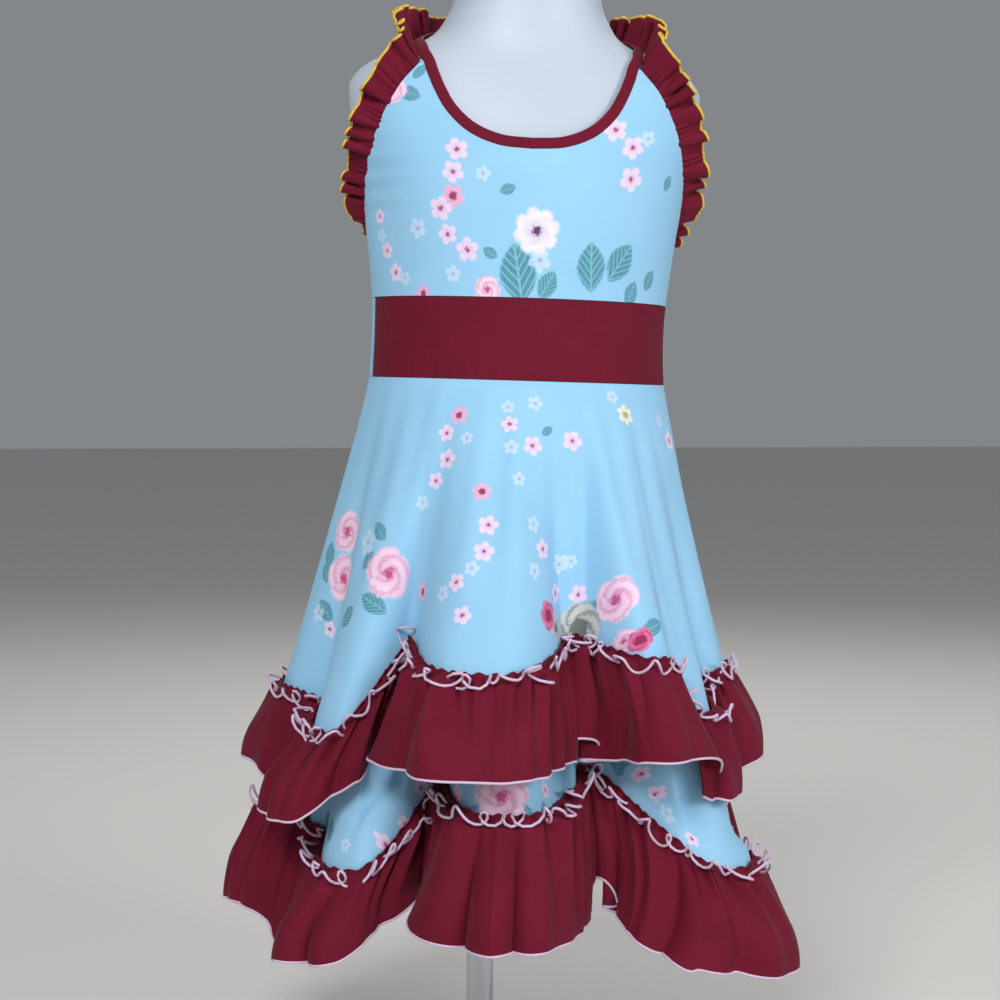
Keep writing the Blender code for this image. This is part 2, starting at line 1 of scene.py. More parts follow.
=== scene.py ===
import math
from collections import namedtuple

import bpy
import numpy as np
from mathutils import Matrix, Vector


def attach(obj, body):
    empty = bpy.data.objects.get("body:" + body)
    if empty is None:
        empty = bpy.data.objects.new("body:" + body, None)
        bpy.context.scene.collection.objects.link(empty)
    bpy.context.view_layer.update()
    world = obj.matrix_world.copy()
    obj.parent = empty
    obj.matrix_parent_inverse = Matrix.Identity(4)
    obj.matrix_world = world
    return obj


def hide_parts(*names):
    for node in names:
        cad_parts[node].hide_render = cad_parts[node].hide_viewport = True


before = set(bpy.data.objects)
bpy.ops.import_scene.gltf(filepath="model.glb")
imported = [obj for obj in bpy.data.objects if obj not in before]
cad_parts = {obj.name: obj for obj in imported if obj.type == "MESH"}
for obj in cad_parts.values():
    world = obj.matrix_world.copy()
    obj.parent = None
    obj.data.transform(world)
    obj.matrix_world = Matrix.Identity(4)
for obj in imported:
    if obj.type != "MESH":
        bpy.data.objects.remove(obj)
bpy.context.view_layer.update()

# Dress form.
# A hollow child's torso moulded in white plastic, smooth and slightly satin, with a neck
# and short flat-capped shoulders, closed underneath by a plug that sits on the pole.

WAIST_SEAM = 0.503
FORM_SHIFT = 0.026
FORM_LEAN_DEG = 1.7
FORM_BOTTOM = 0.398

FormSection = namedtuple("FormSection", "height half_width half_depth")
FORM_SECTIONS = [
    FormSection(FORM_BOTTOM, 0.074, 0.056),
    FormSection(0.403, 0.086, 0.066),
    FormSection(0.415, 0.096, 0.074),
    FormSection(0.440, 0.100, 0.078),
    FormSection(0.475, 0.100, 0.079),
    FormSection(WAIST_SEAM, 0.0985, 0.078),
    FormSection(0.535, 0.0975, 0.077),
    FormSection(0.565, 0.0985, 0.077),
    FormSection(0.595, 0.1020, 0.078),
    FormSection(0.620, 0.1060, 0.078),
    FormSection(0.645, 0.1110, 0.076),
    FormSection(0.670, 0.1180, 0.071),
    FormSection(0.692, 0.1215, 0.063),
    FormSection(0.708, 0.1200, 0.056),
    FormSection(0.719, 0.1080, 0.051),
    FormSection(0.728, 0.0860, 0.048),
    FormSection(0.737, 0.0680, 0.0465),
    FormSection(0.750, 0.0570, 0.0455),
    FormSection(0.770, 0.0500, 0.0445),
    FormSection(0.792, 0.0475, 0.0435),
    FormSection(0.800, 0.0440, 0.0400),
    FormSection(0.804, 0.0370, 0.0335),
]


def smooth_curve(stations, values, wanted):
    """Smooth curve through values at the given stations, read at wanted."""
    stations = np.asarray(stations, float)
    values = np.asarray(values, float)
    slopes = np.gradient(values, stations)
    wanted = np.clip(np.asarray(wanted, float), stations[0], stations[-1])
    left = np.clip(np.searchsorted(stations, wanted, side="right") - 1, 0, len(stations) - 2)
    width = stations[left + 1] - stations[left]
    t = (wanted - stations[left]) / width
    start = (2 * t**3 - 3 * t**2 + 1) * values[left] + (t**3 - 2 * t**2 + t) * width * slopes[left]
    end = (3 * t**2 - 2 * t**3) * values[left + 1] + (t**3 - t**2) * width * slopes[left + 1]
    return start + end


def form_half_sizes(height):
    heights = [s.height for s in FORM_SECTIONS]
    return (
        smooth_curve(heights, [s.half_width for s in FORM_SECTIONS], height),
        smooth_curve(heights, [s.half_depth for s in FORM_SECTIONS], height),
    )


def on_form(turn, height, stand_off):
    """Points round the form: turn from the front in radians, stand_off out from its surface."""
    half_width, half_depth = form_half_sizes(height)
    turn, height = np.broadcast_arrays(turn, height)
    return np.stack(
        [(half_width + stand_off) * np.sin(turn), -(half_depth + stand_off) * np.cos(turn), height],
        axis=-1,
    )


def unit(vectors):
    return vectors / np.maximum(np.linalg.norm(vectors, axis=-1, keepdims=True), 1e-12)


def form_normal(turn, height, stand_off):
    step = 1e-4
    across = on_form(turn + step, height, stand_off) - on_form(turn - step, height, stand_off)
    upward = on_form(turn, height + step, stand_off) - on_form(turn, height - step, stand_off)
    return unit(np.cross(across, upward))


def settle(points):
    """Shift and lean that the form and the dress on it have over the pole."""
    lean = math.radians(FORM_LEAN_DEG)
    x, y, z = points[..., 0], points[..., 1], points[..., 2] - WAIST_SEAM
    return np.stack(
        [
            FORM_SHIFT + x * math.cos(lean) + z * math.sin(lean),
            y,
            WAIST_SEAM - x * math.sin(lean) + z * math.cos(lean),
        ],
        axis=-1,
    )


def deselect_all():
    if bpy.context.mode != "OBJECT":
        bpy.ops.object.mode_set(mode="OBJECT")
    bpy.ops.object.select_all(action="DESELECT")


def activate(piece):
    deselect_all()
    piece.select_set(True)
    bpy.context.view_layer.objects.active = piece


def lay_grid(name, points, cloth_place=None, closed=False):
    """A flat grid laid out with its corners on rows of points and its UV map in metres.

    A closed grid has its last column on its first, and the two are merged."""
    rows, columns = points.shape[:2]
    deselect_all()
    bpy.ops.mesh.primitive_grid_add(
        x_subdivisions=columns - 1, y_subdivisions=rows - 1, size=1.0, calc_uvs=True
    )
    piece = bpy.context.object
    piece.name = piece.data.name = name
    mesh = piece.data
    mesh.vertices.foreach_set("co", np.ascontiguousarray(points, dtype=float).reshape(-1))
    if cloth_place is not None:
        corners = np.empty(len(mesh.loops), dtype=int)
        mesh.loops.foreach_get("vertex_index", corners)
        layer = mesh.uv_layers[0]
        layer.name = "cloth"
        layer.data.foreach_set("uv", cloth_place.reshape(-1, 2)[corners].reshape(-1))
    mesh.update()
    if closed:
        bpy.ops.object.mode_set(mode="EDIT")
        bpy.ops.mesh.select_all(action="SELECT")
        bpy.ops.mesh.remove_doubles(threshold=1e-6)
        bpy.ops.object.mode_set(mode="OBJECT")
    return piece


def finish_piece(piece, material, sharp_deg=50.0):
    """Smooth shading, material and place on the part's one body."""
    activate(piece)
    bpy.ops.object.shade_smooth_by_angle(angle=math.radians(sharp_deg))
    piece.data.materials.clear()
    piece.data.materials.append(material)
    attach(piece, "root")


def linear(hex_colour):
    """Linear RGBA of an sRGB hex colour."""
    channels = [int(hex_colour[i : i + 2], 16) / 255 for i in (1, 3, 5)]
    return [c / 12.92 if c <= 0.04045 else ((c + 0.055) / 1.055) ** 2.4 for c in channels] + [1.0]


def node(material, kind, settings=None, inputs=None):
    """Adds a shader node: its settings, then its inputs, each a value, a socket or a node."""
    tree = material.node_tree
    new = tree.nodes.new("ShaderNode" + kind)
    for key, value in (settings or {}).items():
        setattr(new, key, value)
    for key, value in (inputs or {}).items():
        if isinstance(value, bpy.types.Node):
            tree.links.new(value.outputs[0], new.inputs[key])
        elif isinstance(value, bpy.types.NodeSocket):
            tree.links.new(value, new.inputs[key])
        else:
            new.inputs[key].default_value = value
    return new


def new_material(name):
    """An empty material and its surface shader."""
    material = bpy.data.materials.new(name)
    material.use_nodes = True
    material.node_tree.nodes.clear()
    surface = node(material, "BsdfPrincipled")
    node(material, "OutputMaterial", inputs={"Surface": surface})
    return material, surface


FORM_COLUMNS = 128
FORM_RINGS = 150

turns = np.linspace(0.0, 2 * np.pi, FORM_COLUMNS + 1)[None, :]
rings = np.linspace(FORM_SECTIONS[0].height, FORM_SECTIONS[-1].height, FORM_RINGS)[:, None]
dress_form = lay_grid("dress_form_shell", settle(on_form(turns, rings, 0.0)), closed=True)
bpy.ops.object.mode_set(mode="EDIT")
bpy.ops.mesh.select_all(action="SELECT")
bpy.ops.mesh.fill_holes(sides=FORM_COLUMNS)
bpy.ops.object.mode_set(mode="OBJECT")

moulded_plastic, plastic = new_material("moulded_white_plastic")
plastic.inputs["Base Color"].default_value = linear("#B9C4D2")
plastic.inputs["Roughness"].default_value = 0.5
plastic.inputs["Subsurface Weight"].default_value = 0.05
plastic.inputs["Subsurface Radius"].default_value = (0.004, 0.004, 0.004)

finish_piece(dress_form, moulded_plastic, sharp_deg=40.0)
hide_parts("dress_form")

# Pole and base.
# A chromed steel tube, 19 mm across, stands in a short hub welded to a spun steel plate.
# Both are polished before plating, so they mirror the room.

POLE_RADIUS = 0.0095
POLE_FOOT = 0.0043
POLE_TOP = FORM_BOTTOM + 0.060
BASE_RADIUS = 0.130
BASE_THICKNESS = 0.006
HUB_RADIUS = 0.019
HUB_TOP = 0.026
BASE_PROFILE = [
    (0.0, 0.0),
    (BASE_RADIUS - 0.0015, 0.0),
    (BASE_RADIUS, 0.0015),
    (BASE_RADIUS, BASE_THICKNESS - 0.0015),
    (BASE_RADIUS - 0.0015, BASE_THICKNESS),
    (HUB_RADIUS + 0.004, BASE_THICKNESS),
    (HUB_RADIUS + 0.0012, BASE_THICKNESS + 0.0012),
    (HUB_RADIUS, BASE_THICKNESS + 0.004),
    (HUB_RADIUS, HUB_TOP - 0.0015),
    (HUB_RADIUS - 0.0015, HUB_TOP),
    (POLE_RADIUS + 0.0003, HUB_TOP),
    (POLE_RADIUS + 0.0003, BASE_THICKNESS - 0.002),
    (0.0, BASE_THICKNESS - 0.002),
]

chromed_steel, chrome = new_material("chromed_steel")
chrome.inputs["Base Color"].default_value = linear("#B9BCC2")
chrome.inputs["Metallic"].default_value = 1.0
chrome.inputs["Roughness"].default_value = 0.12

deselect_all()
bpy.ops.mesh.primitive_cylinder_add(
    vertices=96, radius=POLE_RADIUS, depth=POLE_TOP - POLE_FOOT, location=(0, 0, 0.5 * (POLE_TOP + POLE_FOOT))
)
pole = bpy.context.object
pole.name = pole.data.name = "stand_tube"
bpy.ops.object.transform_apply(location=True, rotation=True, scale=True)
finish_piece(pole, chromed_steel)
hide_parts("stand_pole")

spin_turns = np.linspace(0.0, 2 * np.pi, 145)
profile = np.array(BASE_PROFILE)
base_points = np.stack(
    [
        profile[:, :1] * np.cos(spin_turns)[None, :],
        profile[:, :1] * np.sin(spin_turns)[None, :],
        profile[:, 1:] + 0 * spin_turns[None, :],
    ],
    axis=-1,
)
base = lay_grid("stand_plate", base_points, closed=True)
finish_piece(base, chromed_steel, sharp_deg=35.0)
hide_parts("stand_base")

# Upper and lower skirt tiers.
# Two circle skirts of printed cotton lawn with handkerchief hems, sewn into one waist
# seam. Each is cut as a front and a back panel and hangs in soft flutes.

CLOTH = 0.0010
SEAM_GAP = 0.0004
LAYER_GAP = 0.0005
CLOTH_STAND_OFF = 0.0045
PART_CLOTH = 0.0012
CREST_BREADTH = 1.6
FLUTE_GROWTH = 1.45
TIER_CLEARANCE = 0.007
WAIST_CUT_RADIUS = 0.180
VALLEY_FLARE = 0.012
VALLEY_LIFT = 0.014

# One row for each flute: the crest, then the valley after it, angles from the front
# towards the wearer's left. Radius and drop are at the ruffle seam.
Flute = namedtuple(
    "Flute",
    "crest_deg crest_radius crest_drop crest_flare crest_fall valley_deg valley_radius valley_drop",
)
UPPER_FLUTES = [
    Flute(-10, 0.162, 0.189, 0.028, 0.058, 11, 0.104, 0.172),
    Flute(17, 0.107, 0.170, 0.014, 0.060, 23, 0.105, 0.172),
    Flute(34, 0.158, 0.180, 0.028, 0.058, 44, 0.148, 0.196),
    Flute(53, 0.157, 0.221, 0.020, 0.050, 64, 0.138, 0.202),
    Flute(77, 0.152, 0.196, 0.020, 0.056, 97, 0.124, 0.194),
    Flute(118, 0.160, 0.200, 0.028, 0.056, 139, 0.114, 0.184),
    Flute(159, 0.162, 0.186, 0.028, 0.057, 181, 0.112, 0.180),
    Flute(202, 0.162, 0.190, 0.028, 0.056, 222, 0.118, 0.196),
    Flute(241, 0.158, 0.224, 0.024, 0.052, 259, 0.130, 0.210),
    Flute(277, 0.158, 0.216, 0.022, 0.048, 293, 0.140, 0.222),
    Flute(311, 0.164, 0.236, 0.030, 0.050, 322, 0.116, 0.175),
]
LOWER_FLUTES = [
    Flute(-4, 0.169, 0.276, 0.030, 0.074, 22, 0.104, 0.258),
    Flute(27, 0.106, 0.257, 0.014, 0.068, 32, 0.105, 0.262),
    Flute(54, 0.187, 0.320, 0.027, 0.060, 76, 0.138, 0.300),
    Flute(94, 0.152, 0.288, 0.016, 0.064, 114, 0.118, 0.276),
    Flute(133, 0.172, 0.282, 0.032, 0.072, 152, 0.110, 0.266),
    Flute(172, 0.172, 0.272, 0.032, 0.074, 192, 0.110, 0.266),
    Flute(212, 0.172, 0.288, 0.032, 0.072, 230, 0.124, 0.288),
    Flute(247, 0.174, 0.316, 0.028, 0.066, 265, 0.136, 0.302),
    Flute(282, 0.168, 0.294, 0.022, 0.064, 299, 0.142, 0.308),
    Flute(318, 0.169, 0.322, 0.030, 0.050, 333, 0.106, 0.262),
]

# Where a flute's flank rolls over the valley beside it, as the front one does
FoldRoll = namedtuple("FoldRoll", "at_deg reach_deg width_deg")
UPPER_ROLLS = [FoldRoll(8, 5.5, 6.5), FoldRoll(316, -2.0, 5.0)]
LOWER_ROLLS = [FoldRoll(14, 3.0, 6.0)]


def flute_value(flutes, angle_deg, crest_values, valley_values):
    """Crest value on each crest, valley value in each valley, broad crests, narrow valleys."""
    angle = np.asarray(angle_deg, float) % 360.0
    result = np.zeros_like(angle)
    for i, flute in enumerate(flutes):
        crest = flute.crest_deg % 360.0
        before = flutes[i - 1].valley_deg % 360.0
        for valley, value, sign in (
            (flute.valley_deg % 360.0, valley_values[i], 1.0),
            (before, valley_values[i - 1], -1.0),
        ):
            span = (sign * (valley - crest)) % 360.0
            offset = (sign * (angle - crest)) % 360.0
            inside = offset <= span
            weight = 0.5 * (1 + np.cos(np.pi * (offset[inside] / span) ** CREST_BREADTH))
            result[inside] = value + (crest_values[i] - value) * weight
    return result


def flute_column(flutes, angle_deg, crest_name, valley_name):
    crests = [getattr(f, crest_name) for f in flutes]
    valleys = [getattr(f, valley_name) for f in flutes]
    return flute_value(flutes, angle_deg, crests, valleys)


def ruffle_reach(flutes, angle_deg):
    """Flare outwards and fall downwards of a tier's ruffle."""
    falls = [f.crest_fall for f in flutes]
    flare = flute_value(
        flutes, angle_deg, [f.crest_flare for f in flutes], [VALLEY_FLARE] * len(flutes)
    )
    return flare, flute_value(flutes, angle_deg, falls, [f + VALLEY_LIFT for f in falls])


def waist_radius(angle_deg, stand_off):
    half_width, half_depth = form_half_sizes(WAIST_SEAM)
    a, b = half_width + stand_off, half_depth + stand_off
    turn = np.radians(angle_deg)
    return a * b / np.sqrt((b * np.sin(turn)) ** 2 + (a * np.cos(turn)) ** 2)


def tier_radius(flutes, angle_deg, share, stand_off):
    """Radius of a tier's outer surface at a share of its drop from waist to ruffle seam."""
    seam = flute_column(flutes, angle_deg, "crest_radius", "valley_radius")
    plain = np.mean([0.5 * (f.crest_radius + f.valley_radius) for f in flutes])
    waist = waist_radius(angle_deg, stand_off)
    return waist + (plain - waist) * share + (seam - plain) * share**FLUTE_GROWTH


def upper_shape_radius(angle_deg, height):
    """Radius of the whole upper tier, ruffle and all, at a height."""
    drop = flute_column(UPPER_FLUTES, angle_deg, "crest_drop", "valley_drop")
    flare, fall = ruffle_reach(UPPER_FLUTES, angle_deg)
    below_waist = WAIST_SEAM - height
    share = np.clip(below_waist / drop, 0.0, 1.0)
    ruffle_share = np.clip((below_waist - drop) / fall, 0.0, 1.2)
    return tier_radius(UPPER_FLUTES, angle_deg, share, CLOTH_STAND_OFF) + flare * ruffle_share


def lower_tier_radius(angle_deg, share, height):
    """The lower tier's own radius, held inside the upper tier where that covers it."""
    inner_stand_off = CLOTH_STAND_OFF - PART_CLOTH - LAYER_GAP
    own = tier_radius(LOWER_FLUTES, angle_deg, share, inner_stand_off)
    drop = flute_column(UPPER_FLUTES, angle_deg, "crest_drop", "valley_drop")
    _, fall = ruffle_reach(UPPER_FLUTES, angle_deg)
    clearance = PART_CLOTH + LAYER_GAP + TIER_CLEARANCE * np.clip(2.5 * share, 0.0, 1.0)
    cover = upper_shape_radius(angle_deg, height) - clearance
    freed = np.clip((WAIST_SEAM - drop - 1.1 * fall - height) / 0.035, 0.0, 1.0)
    return np.where(own > cover, cover + (own - cover) * freed, own)


def polar(angle_deg, radius, height):
    turn = np.radians(angle_deg)
    return np.stack([radius * np.sin(turn), -radius * np.cos(turn), height], axis=-1)


def rolled_angle(rolls, angle_deg, share):
    """Angles with each rolled flank pushed sideways over its valley, most at the hem."""
    moved = np.array(angle_deg, float)
    for roll in rolls:
        away = (angle_deg - roll.at_deg + 180.0) % 360.0 - 180.0
        moved = moved + roll.reach_deg * share**2 * np.exp(-((away / roll.width_deg) ** 2))
    return moved


def drift(around, counts, seed):
    """Slow irregular wave, about -1 to 1: around runs 0 to 1 round the ring."""
    draw = np.random.default_rng(seed)
    total = np.zeros_like(around)
    for count in counts:
        total += np.sin(2 * np.pi * (count * around + draw.random()))
    return total / math.sqrt(len(counts))


def tier_points(is_upper, angle_deg, shares):
    """Rows of points on a tier's outer surface, before it is settled over the pole."""
    flutes = UPPER_FLUTES if is_upper else LOWER_FLUTES
    rolls = UPPER_ROLLS if is_upper else LOWER_ROLLS
    drop = flute_column(flutes, angle_deg, "crest_drop", "valley_drop")
    around = np.asarray(angle_deg) / 360.0
    soft = drift(around, (17, 23, 31), 11 if is_upper else 12)
    layers = []
    for share in shares:
        height = WAIST_SEAM - SEAM_GAP - share * (drop - SEAM_GAP)
        if is_upper:
            radius = tier_radius(flutes, angle_deg, share, CLOTH_STAND_OFF)
        else:
            radius = lower_tier_radius(angle_deg, share, height)
        radius = radius + 0.0011 * soft * np.sin(np.pi * min(share * 1.15, 1.0)) ** 1.0
        layers.append(polar(rolled_angle(rolls, angle_deg, share), radius, height))
    return np.array(layers)


def even_angles(is_upper, start_deg, end_deg, columns):
    """Angles that divide a tier's seam line into stretches of equal length."""
    fine = np.linspace(start_deg, end_deg, 4001)
    line = tier_points(is_upper, fine, [1.0])[0]
    run = np.concatenate([[0.0], np.cumsum(np.linalg.norm(np.diff(line, axis=0), axis=1))])
    return np.interp(np.linspace(0.0, run[-1], columns + 1), run, fine)


def flat_cut(points):
    """Where each point lies on the flat panel, a sector of a circle skirt, in metres.

    The origin is the middle of the waist edge, with y negative down the skirt."""
    rows, columns = points.shape[:2]
    down = np.zeros((rows, columns))
    down[1:] = np.cumsum(np.linalg.norm(np.diff(points, axis=0), axis=2), axis=0)
    across = np.zeros((rows, columns))
    across[:, 1:] = np.cumsum(np.linalg.norm(np.diff(points, axis=1), axis=2), axis=1)
    across -= across[:, columns // 2 : columns // 2 + 1]
    radius = WAIST_CUT_RADIUS + down
    turn = across / radius
    return np.stack([radius * np.sin(turn), WAIST_CUT_RADIUS - radius * np.cos(turn)], axis=-1)


def cloth_wall(piece, thickness, side):
    """Gives a sheet its thickness: side -1 grows it inwards, +1 outwards."""
    activate(piece)
    wall = piece.modifiers.new("cloth", "SOLIDIFY")
    wall.thickness = thickness
    wall.offset = side
    wall.use_rim = True
    bpy.ops.object.modifier_apply(modifier=wall.name)


SKIRT_COLUMNS = 220
SKIRT_ROWS = 80

# The print: kinds of flower, and where each lies on its panel's flat cut
PrintKind = namedtuple("PrintKind", "petals notch folds eye petal_colour eye_colour cover")
PRINT_KINDS = {
    "blossom": PrintKind(5, 0.42, 0.06, 0.22, "#E8D2EE", "#A8386E", 0.93),
    "pink": PrintKind(5, 0.40, 0.15, 0.34, "#E8AFD2", "#96184A", 0.93),
    "faint": PrintKind(5, 0.46, 0.0, 0.20, "#CFE2F5", "#A98FC4", 0.60),
    "rose": PrintKind(5, 0.15, 0.55, 0.24, "#F3CFE6", "#C24C86", 0.97),
    "crimson": PrintKind(5, 0.18, 0.75, 0.42, "#DC6A9C", "#93154B", 0.97),
    "bloom": PrintKind(8, 0.20, 0.12, 0.22, "#ECE4F5", "#5C2C62", 0.96),
    # cluster: a printed flower, but its grey petals, dark grey eye and heavy folds are the shade of the deep front
    # fold it lies in, painted in as colour: painted shade
    "cluster": PrintKind(9, 0.12, 0.95, 0.40, "#C6CBC6", "#6C6E66", 0.95),
    "yellow": PrintKind(6, 0.42, 0.20, 0.34, "#F0EDD0", "#B5A468", 0.85),
}
# Columns: kind, millimetres across and up the cut, size from the middle out, turn in degrees
FRONT_BODICE_PRINT = [
    ("blossom", -48, 97, 6.5, 0), ("blossom", -52, 82, 6.5, 0), ("pink", -53, 66, 7, 0),
    ("blossom", -62, 58, 7, 0), ("blossom", -58, 41, 6, 0), ("blossom", -44, 31, 7, 0),
    ("faint", -55, 15, 5, 0), ("faint", -32, 81, 4.5, 0), ("faint", -81, 45, 6, 0),
    ("blossom", -117, 54, 4.5, 0), ("faint", -117, 41, 4, 0), ("blossom", -112, 31, 5, 0),
    ("blossom", -104, 16, 5.5, 0), ("faint", -95, 12, 4, 0), ("pink", -79, 2, 5, 0),
    ("rose", -30, 5, 8, 0), ("blossom", 52, 114, 7, 0), ("blossom", 66, 103, 7, 0),
    ("blossom", 69, 82, 7.5, 0), ("faint", 76, 110, 5, 0), ("bloom", 4, 44, 13.5, 0),
    ("faint", 7, 25, 7, 0), ("leaf", -8, 16, 17, 100), ("leaf", 13, 9, 9, 60),
    ("leaf", 45, 22, 14, 95), ("leaf", 68, 26, 13, 55), ("leaf", 99, 16, 7, 60),
    ("leaf", 81, 6, 8, 70), ("leaf", -28, 29, 5, 150), ("leaf", -16, 71, 5, 20),
    ("leaf", -76, 135, 7, 160), ("rose", -88, 139, 9, 0), ("leaf", -70, 150, 5, 60), ("leaf", 102, 82, 5, 80),
]
UPPER_FRONT_PRINT = [
    ("rose", -163, -57, 12.5, 0), ("rose", -180, -84, 14, 0), ("rose", -118, -110, 15, 0),
    ("faint", -131, -83, 8, 0), ("leaf", -117, -81, 7, 110), ("leaf", -132, -96, 7, 20),
    ("leaf", -135, -126, 9, 130), ("leaf", -187, -62, 8, 60), ("leaf", -195, -71, 7, 80),
    ("leaf", -207, -94, 8, 100), ("leaf", -163, -124, 9, 10), ("blossom", -210, -106, 5, 0),
    ("faint", -214, -92, 5, 0), ("pink", -44, -20, 5.5, 0), ("blossom", -54, -30, 5, 0),
    ("blossom", -55, -48, 6, 0), ("blossom", -66, -60, 5, 0), ("faint", -79, -72, 4.5, 0),
    ("pink", -29, -76, 5.5, 0), ("blossom", -25, -99, 6, 0), ("blossom", -28, -117, 6, 0),
    ("faint", -36, -128, 4.5, 0), ("blossom", -47, -136, 5.5, 0), ("pink", -93, -129, 6, 0),
    ("faint", -59, -141, 5, 0), ("blossom", -43, -159, 5.5, 0), ("faint", -39, -37, 4, 0),
    ("faint", -11, -18, 4, 0), ("blossom", -10, -30, 5, 0), ("faint", -9, -46, 4.5, 0),
    ("blossom", 6, -44, 6, 0), ("faint", 7, -15, 4.5, 0), ("leaf", 16, -33, 4, 40),
    ("blossom", 34, -37, 6, 0), ("faint", -4, -68, 4, 0), ("faint", 8, -97, 5, 0),
    ("blossom", 18, -112, 6, 0), ("faint", 41, -118, 6, 0), ("faint", 49, -115, 4, 0),
    ("faint", 9, -128, 5, 0), ("blossom", 40, -138, 6, 0), ("blossom", 61, -135, 6, 0),
    # The two clusters lie in the deep fold beside the front crest; their grey is painted shade over a printed
    # flower
    ("crimson", 26, -155, 9, 0), ("cluster", 69, -156, 15, 0), ("cluster", 40, -161, 7, 0),
    ("leaf", 75, -144, 9, 60), ("rose", 90, -134, 13, 0), ("rose", 107, -158, 7, 0),
    ("crimson", 117, -156, 7, 0), ("leaf", 122, -146, 8, 40), ("yellow", 72, -8, 6, 0),
    ("faint", 61, 1, 4, 0), ("blossom", 124, 0, 6, 0), ("faint", 108, 6, 4, 0),
]
LOWER_FRONT_PRINT = [
    ("rose", -12, -274, 15, 0), ("leaf", -1, -285, 9, 20), ("leaf", -25, -285, 9, 160),
    ("blossom", 34, -268, 6, 0), ("leaf", 25, -284, 7, 90), ("rose", -53, -273, 9, 0),
    ("blossom", 147, -235, 5, 0), ("leaf", 130, -234, 9, 60), ("blossom", 162, -244, 5, 0),
    ("faint", 171, -255, 6, 0), ("blossom", 191, -267, 5, 0), ("blossom", -145, -271, 5, 0),
    ("faint", -190, -274, 4, 0), ("blossom", -164, -282, 5, 0), ("leaf", -205, -259, 7, 60),
]
# Elsewhere the same chains and sprays repeat: where each starts, which way it runs, how long
Garland = namedtuple("Garland", "across up turn_deg length")
Spray = namedtuple("Spray", "across up turn_deg")
PRINT_REPEATS = {
    "upper_skirt_back": [
        Garland(-40, -14, -110, 120), Garland(34, -30, -70, 110), Garland(-190, -60, -60, 90),
        Garland(150, -40, -95, 100), Spray(-120, -120, 20), Spray(70, -165, 160), Spray(230, -130, 70),
        Spray(-255, -175, 100),
    ],
    "upper_skirt_front": [Garland(246, -150, -60, 60), Spray(-262, -205, 40)],
    "lower_skirt_back": [
        Garland(-120, -190, -80, 100), Garland(60, -200, -100, 90), Garland(220, -190, -60, 90),
        Spray(-190, -230, 30), Spray(-20, -262, 150), Spray(150, -270, 80), Spray(290, -290, 20),
        Spray(-300, -290, 120),
    ],
    "lower_skirt_front": [Garland(190, -220, -50, 90), Spray(-250, -270, 60), Garland(-120, -240, -140, 70)],
    "back_bodice": [Garland(-110, 30, -25, 90), Garland(20, 8, 20, 110)],
    "back_waistband": [Garland(-120, 40, -20, 110), Spray(24, 26, 40), Garland(70, 14, 18, 80)],
}
BARE = 9.0
FLOWER_SCALE = 1.38
LEAF_SCALE = 1.25


def garland_motifs(garland, draw):
    """A winding chain of small blossoms with a bud or a leaf here and there."""
    across, up, turn = garland.across, garland.up, math.radians(garland.turn_deg)
    motifs = []
    for step in range(int(garland.length / 12)):
        kind = ("blossom", "blossom", "pink", "blossom", "faint")[step % 5]
        motifs.append((kind, across, up, draw.uniform(5.0, 6.8), 0))
        if step % 3 == 1:
            motifs.append(("faint", across + 11 * math.cos(turn + 1.5), up + 11 * math.sin(turn + 1.5), 4.2, 0))
        if step % 4 == 2:
            aside = turn - 1.4
            motifs.append(("leaf", across + 9 * math.cos(aside), up + 9 * math.sin(aside), 4.5, 60 * step))
        turn += draw.uniform(-0.5, 0.5) + (0.25 if step % 6 < 3 else -0.25)
        across += 13.0 * math.cos(turn)
        up += 13.0 * math.sin(turn)
    return motifs


def spray_motifs(spray, draw):
    """Three roses, a white bloom or a cluster beside them, and leaves round about."""
    motifs = []
    for step, kind in enumerate(("rose", "rose", "rose", "bloom", "crimson")):
        turn = math.radians(spray.turn_deg + 72 * step)
        reach = 19.0 if step < 3 else 23.0
        size = (14.5, 13.0, 12.0, 11.0, 8.0)[step] * draw.uniform(0.92, 1.06)
        motifs.append((kind, spray.across + reach * math.cos(turn), spray.up + reach * math.sin(turn), size, 0))
    for step in range(7):
        turn = math.radians(spray.turn_deg + 51 * step + 25)
        reach = draw.uniform(30.0, 37.0)
        place = spray.across + reach * math.cos(turn), spray.up + reach * math.sin(turn)
        motifs.append(("leaf", *place, draw.uniform(7.0, 10.0), math.degrees(turn) + draw.uniform(-30, 30)))
    return motifs


def split_layers(motifs):
    """Leaves, and flowers in two layers so that no two in one layer touch."""
    leaves = [(*m[:3], LEAF_SCALE * m[3], m[4]) for m in motifs if m[0] == "leaf"]
    flowers = [(*m[:3], FLOWER_SCALE * m[3], m[4]) for m in motifs if m[0] != "leaf"]
    layers = [[], []]
    for motif in flowers:
        clear = all(math.dist(motif[1:3], m[1:3]) > motif[3] + m[3] + 3.0 for m in layers[0])
        layers[0 if clear else 1].append(motif)
    return {"leaf": leaves, "bloom_low": layers[0], "bloom_top": layers[1]}


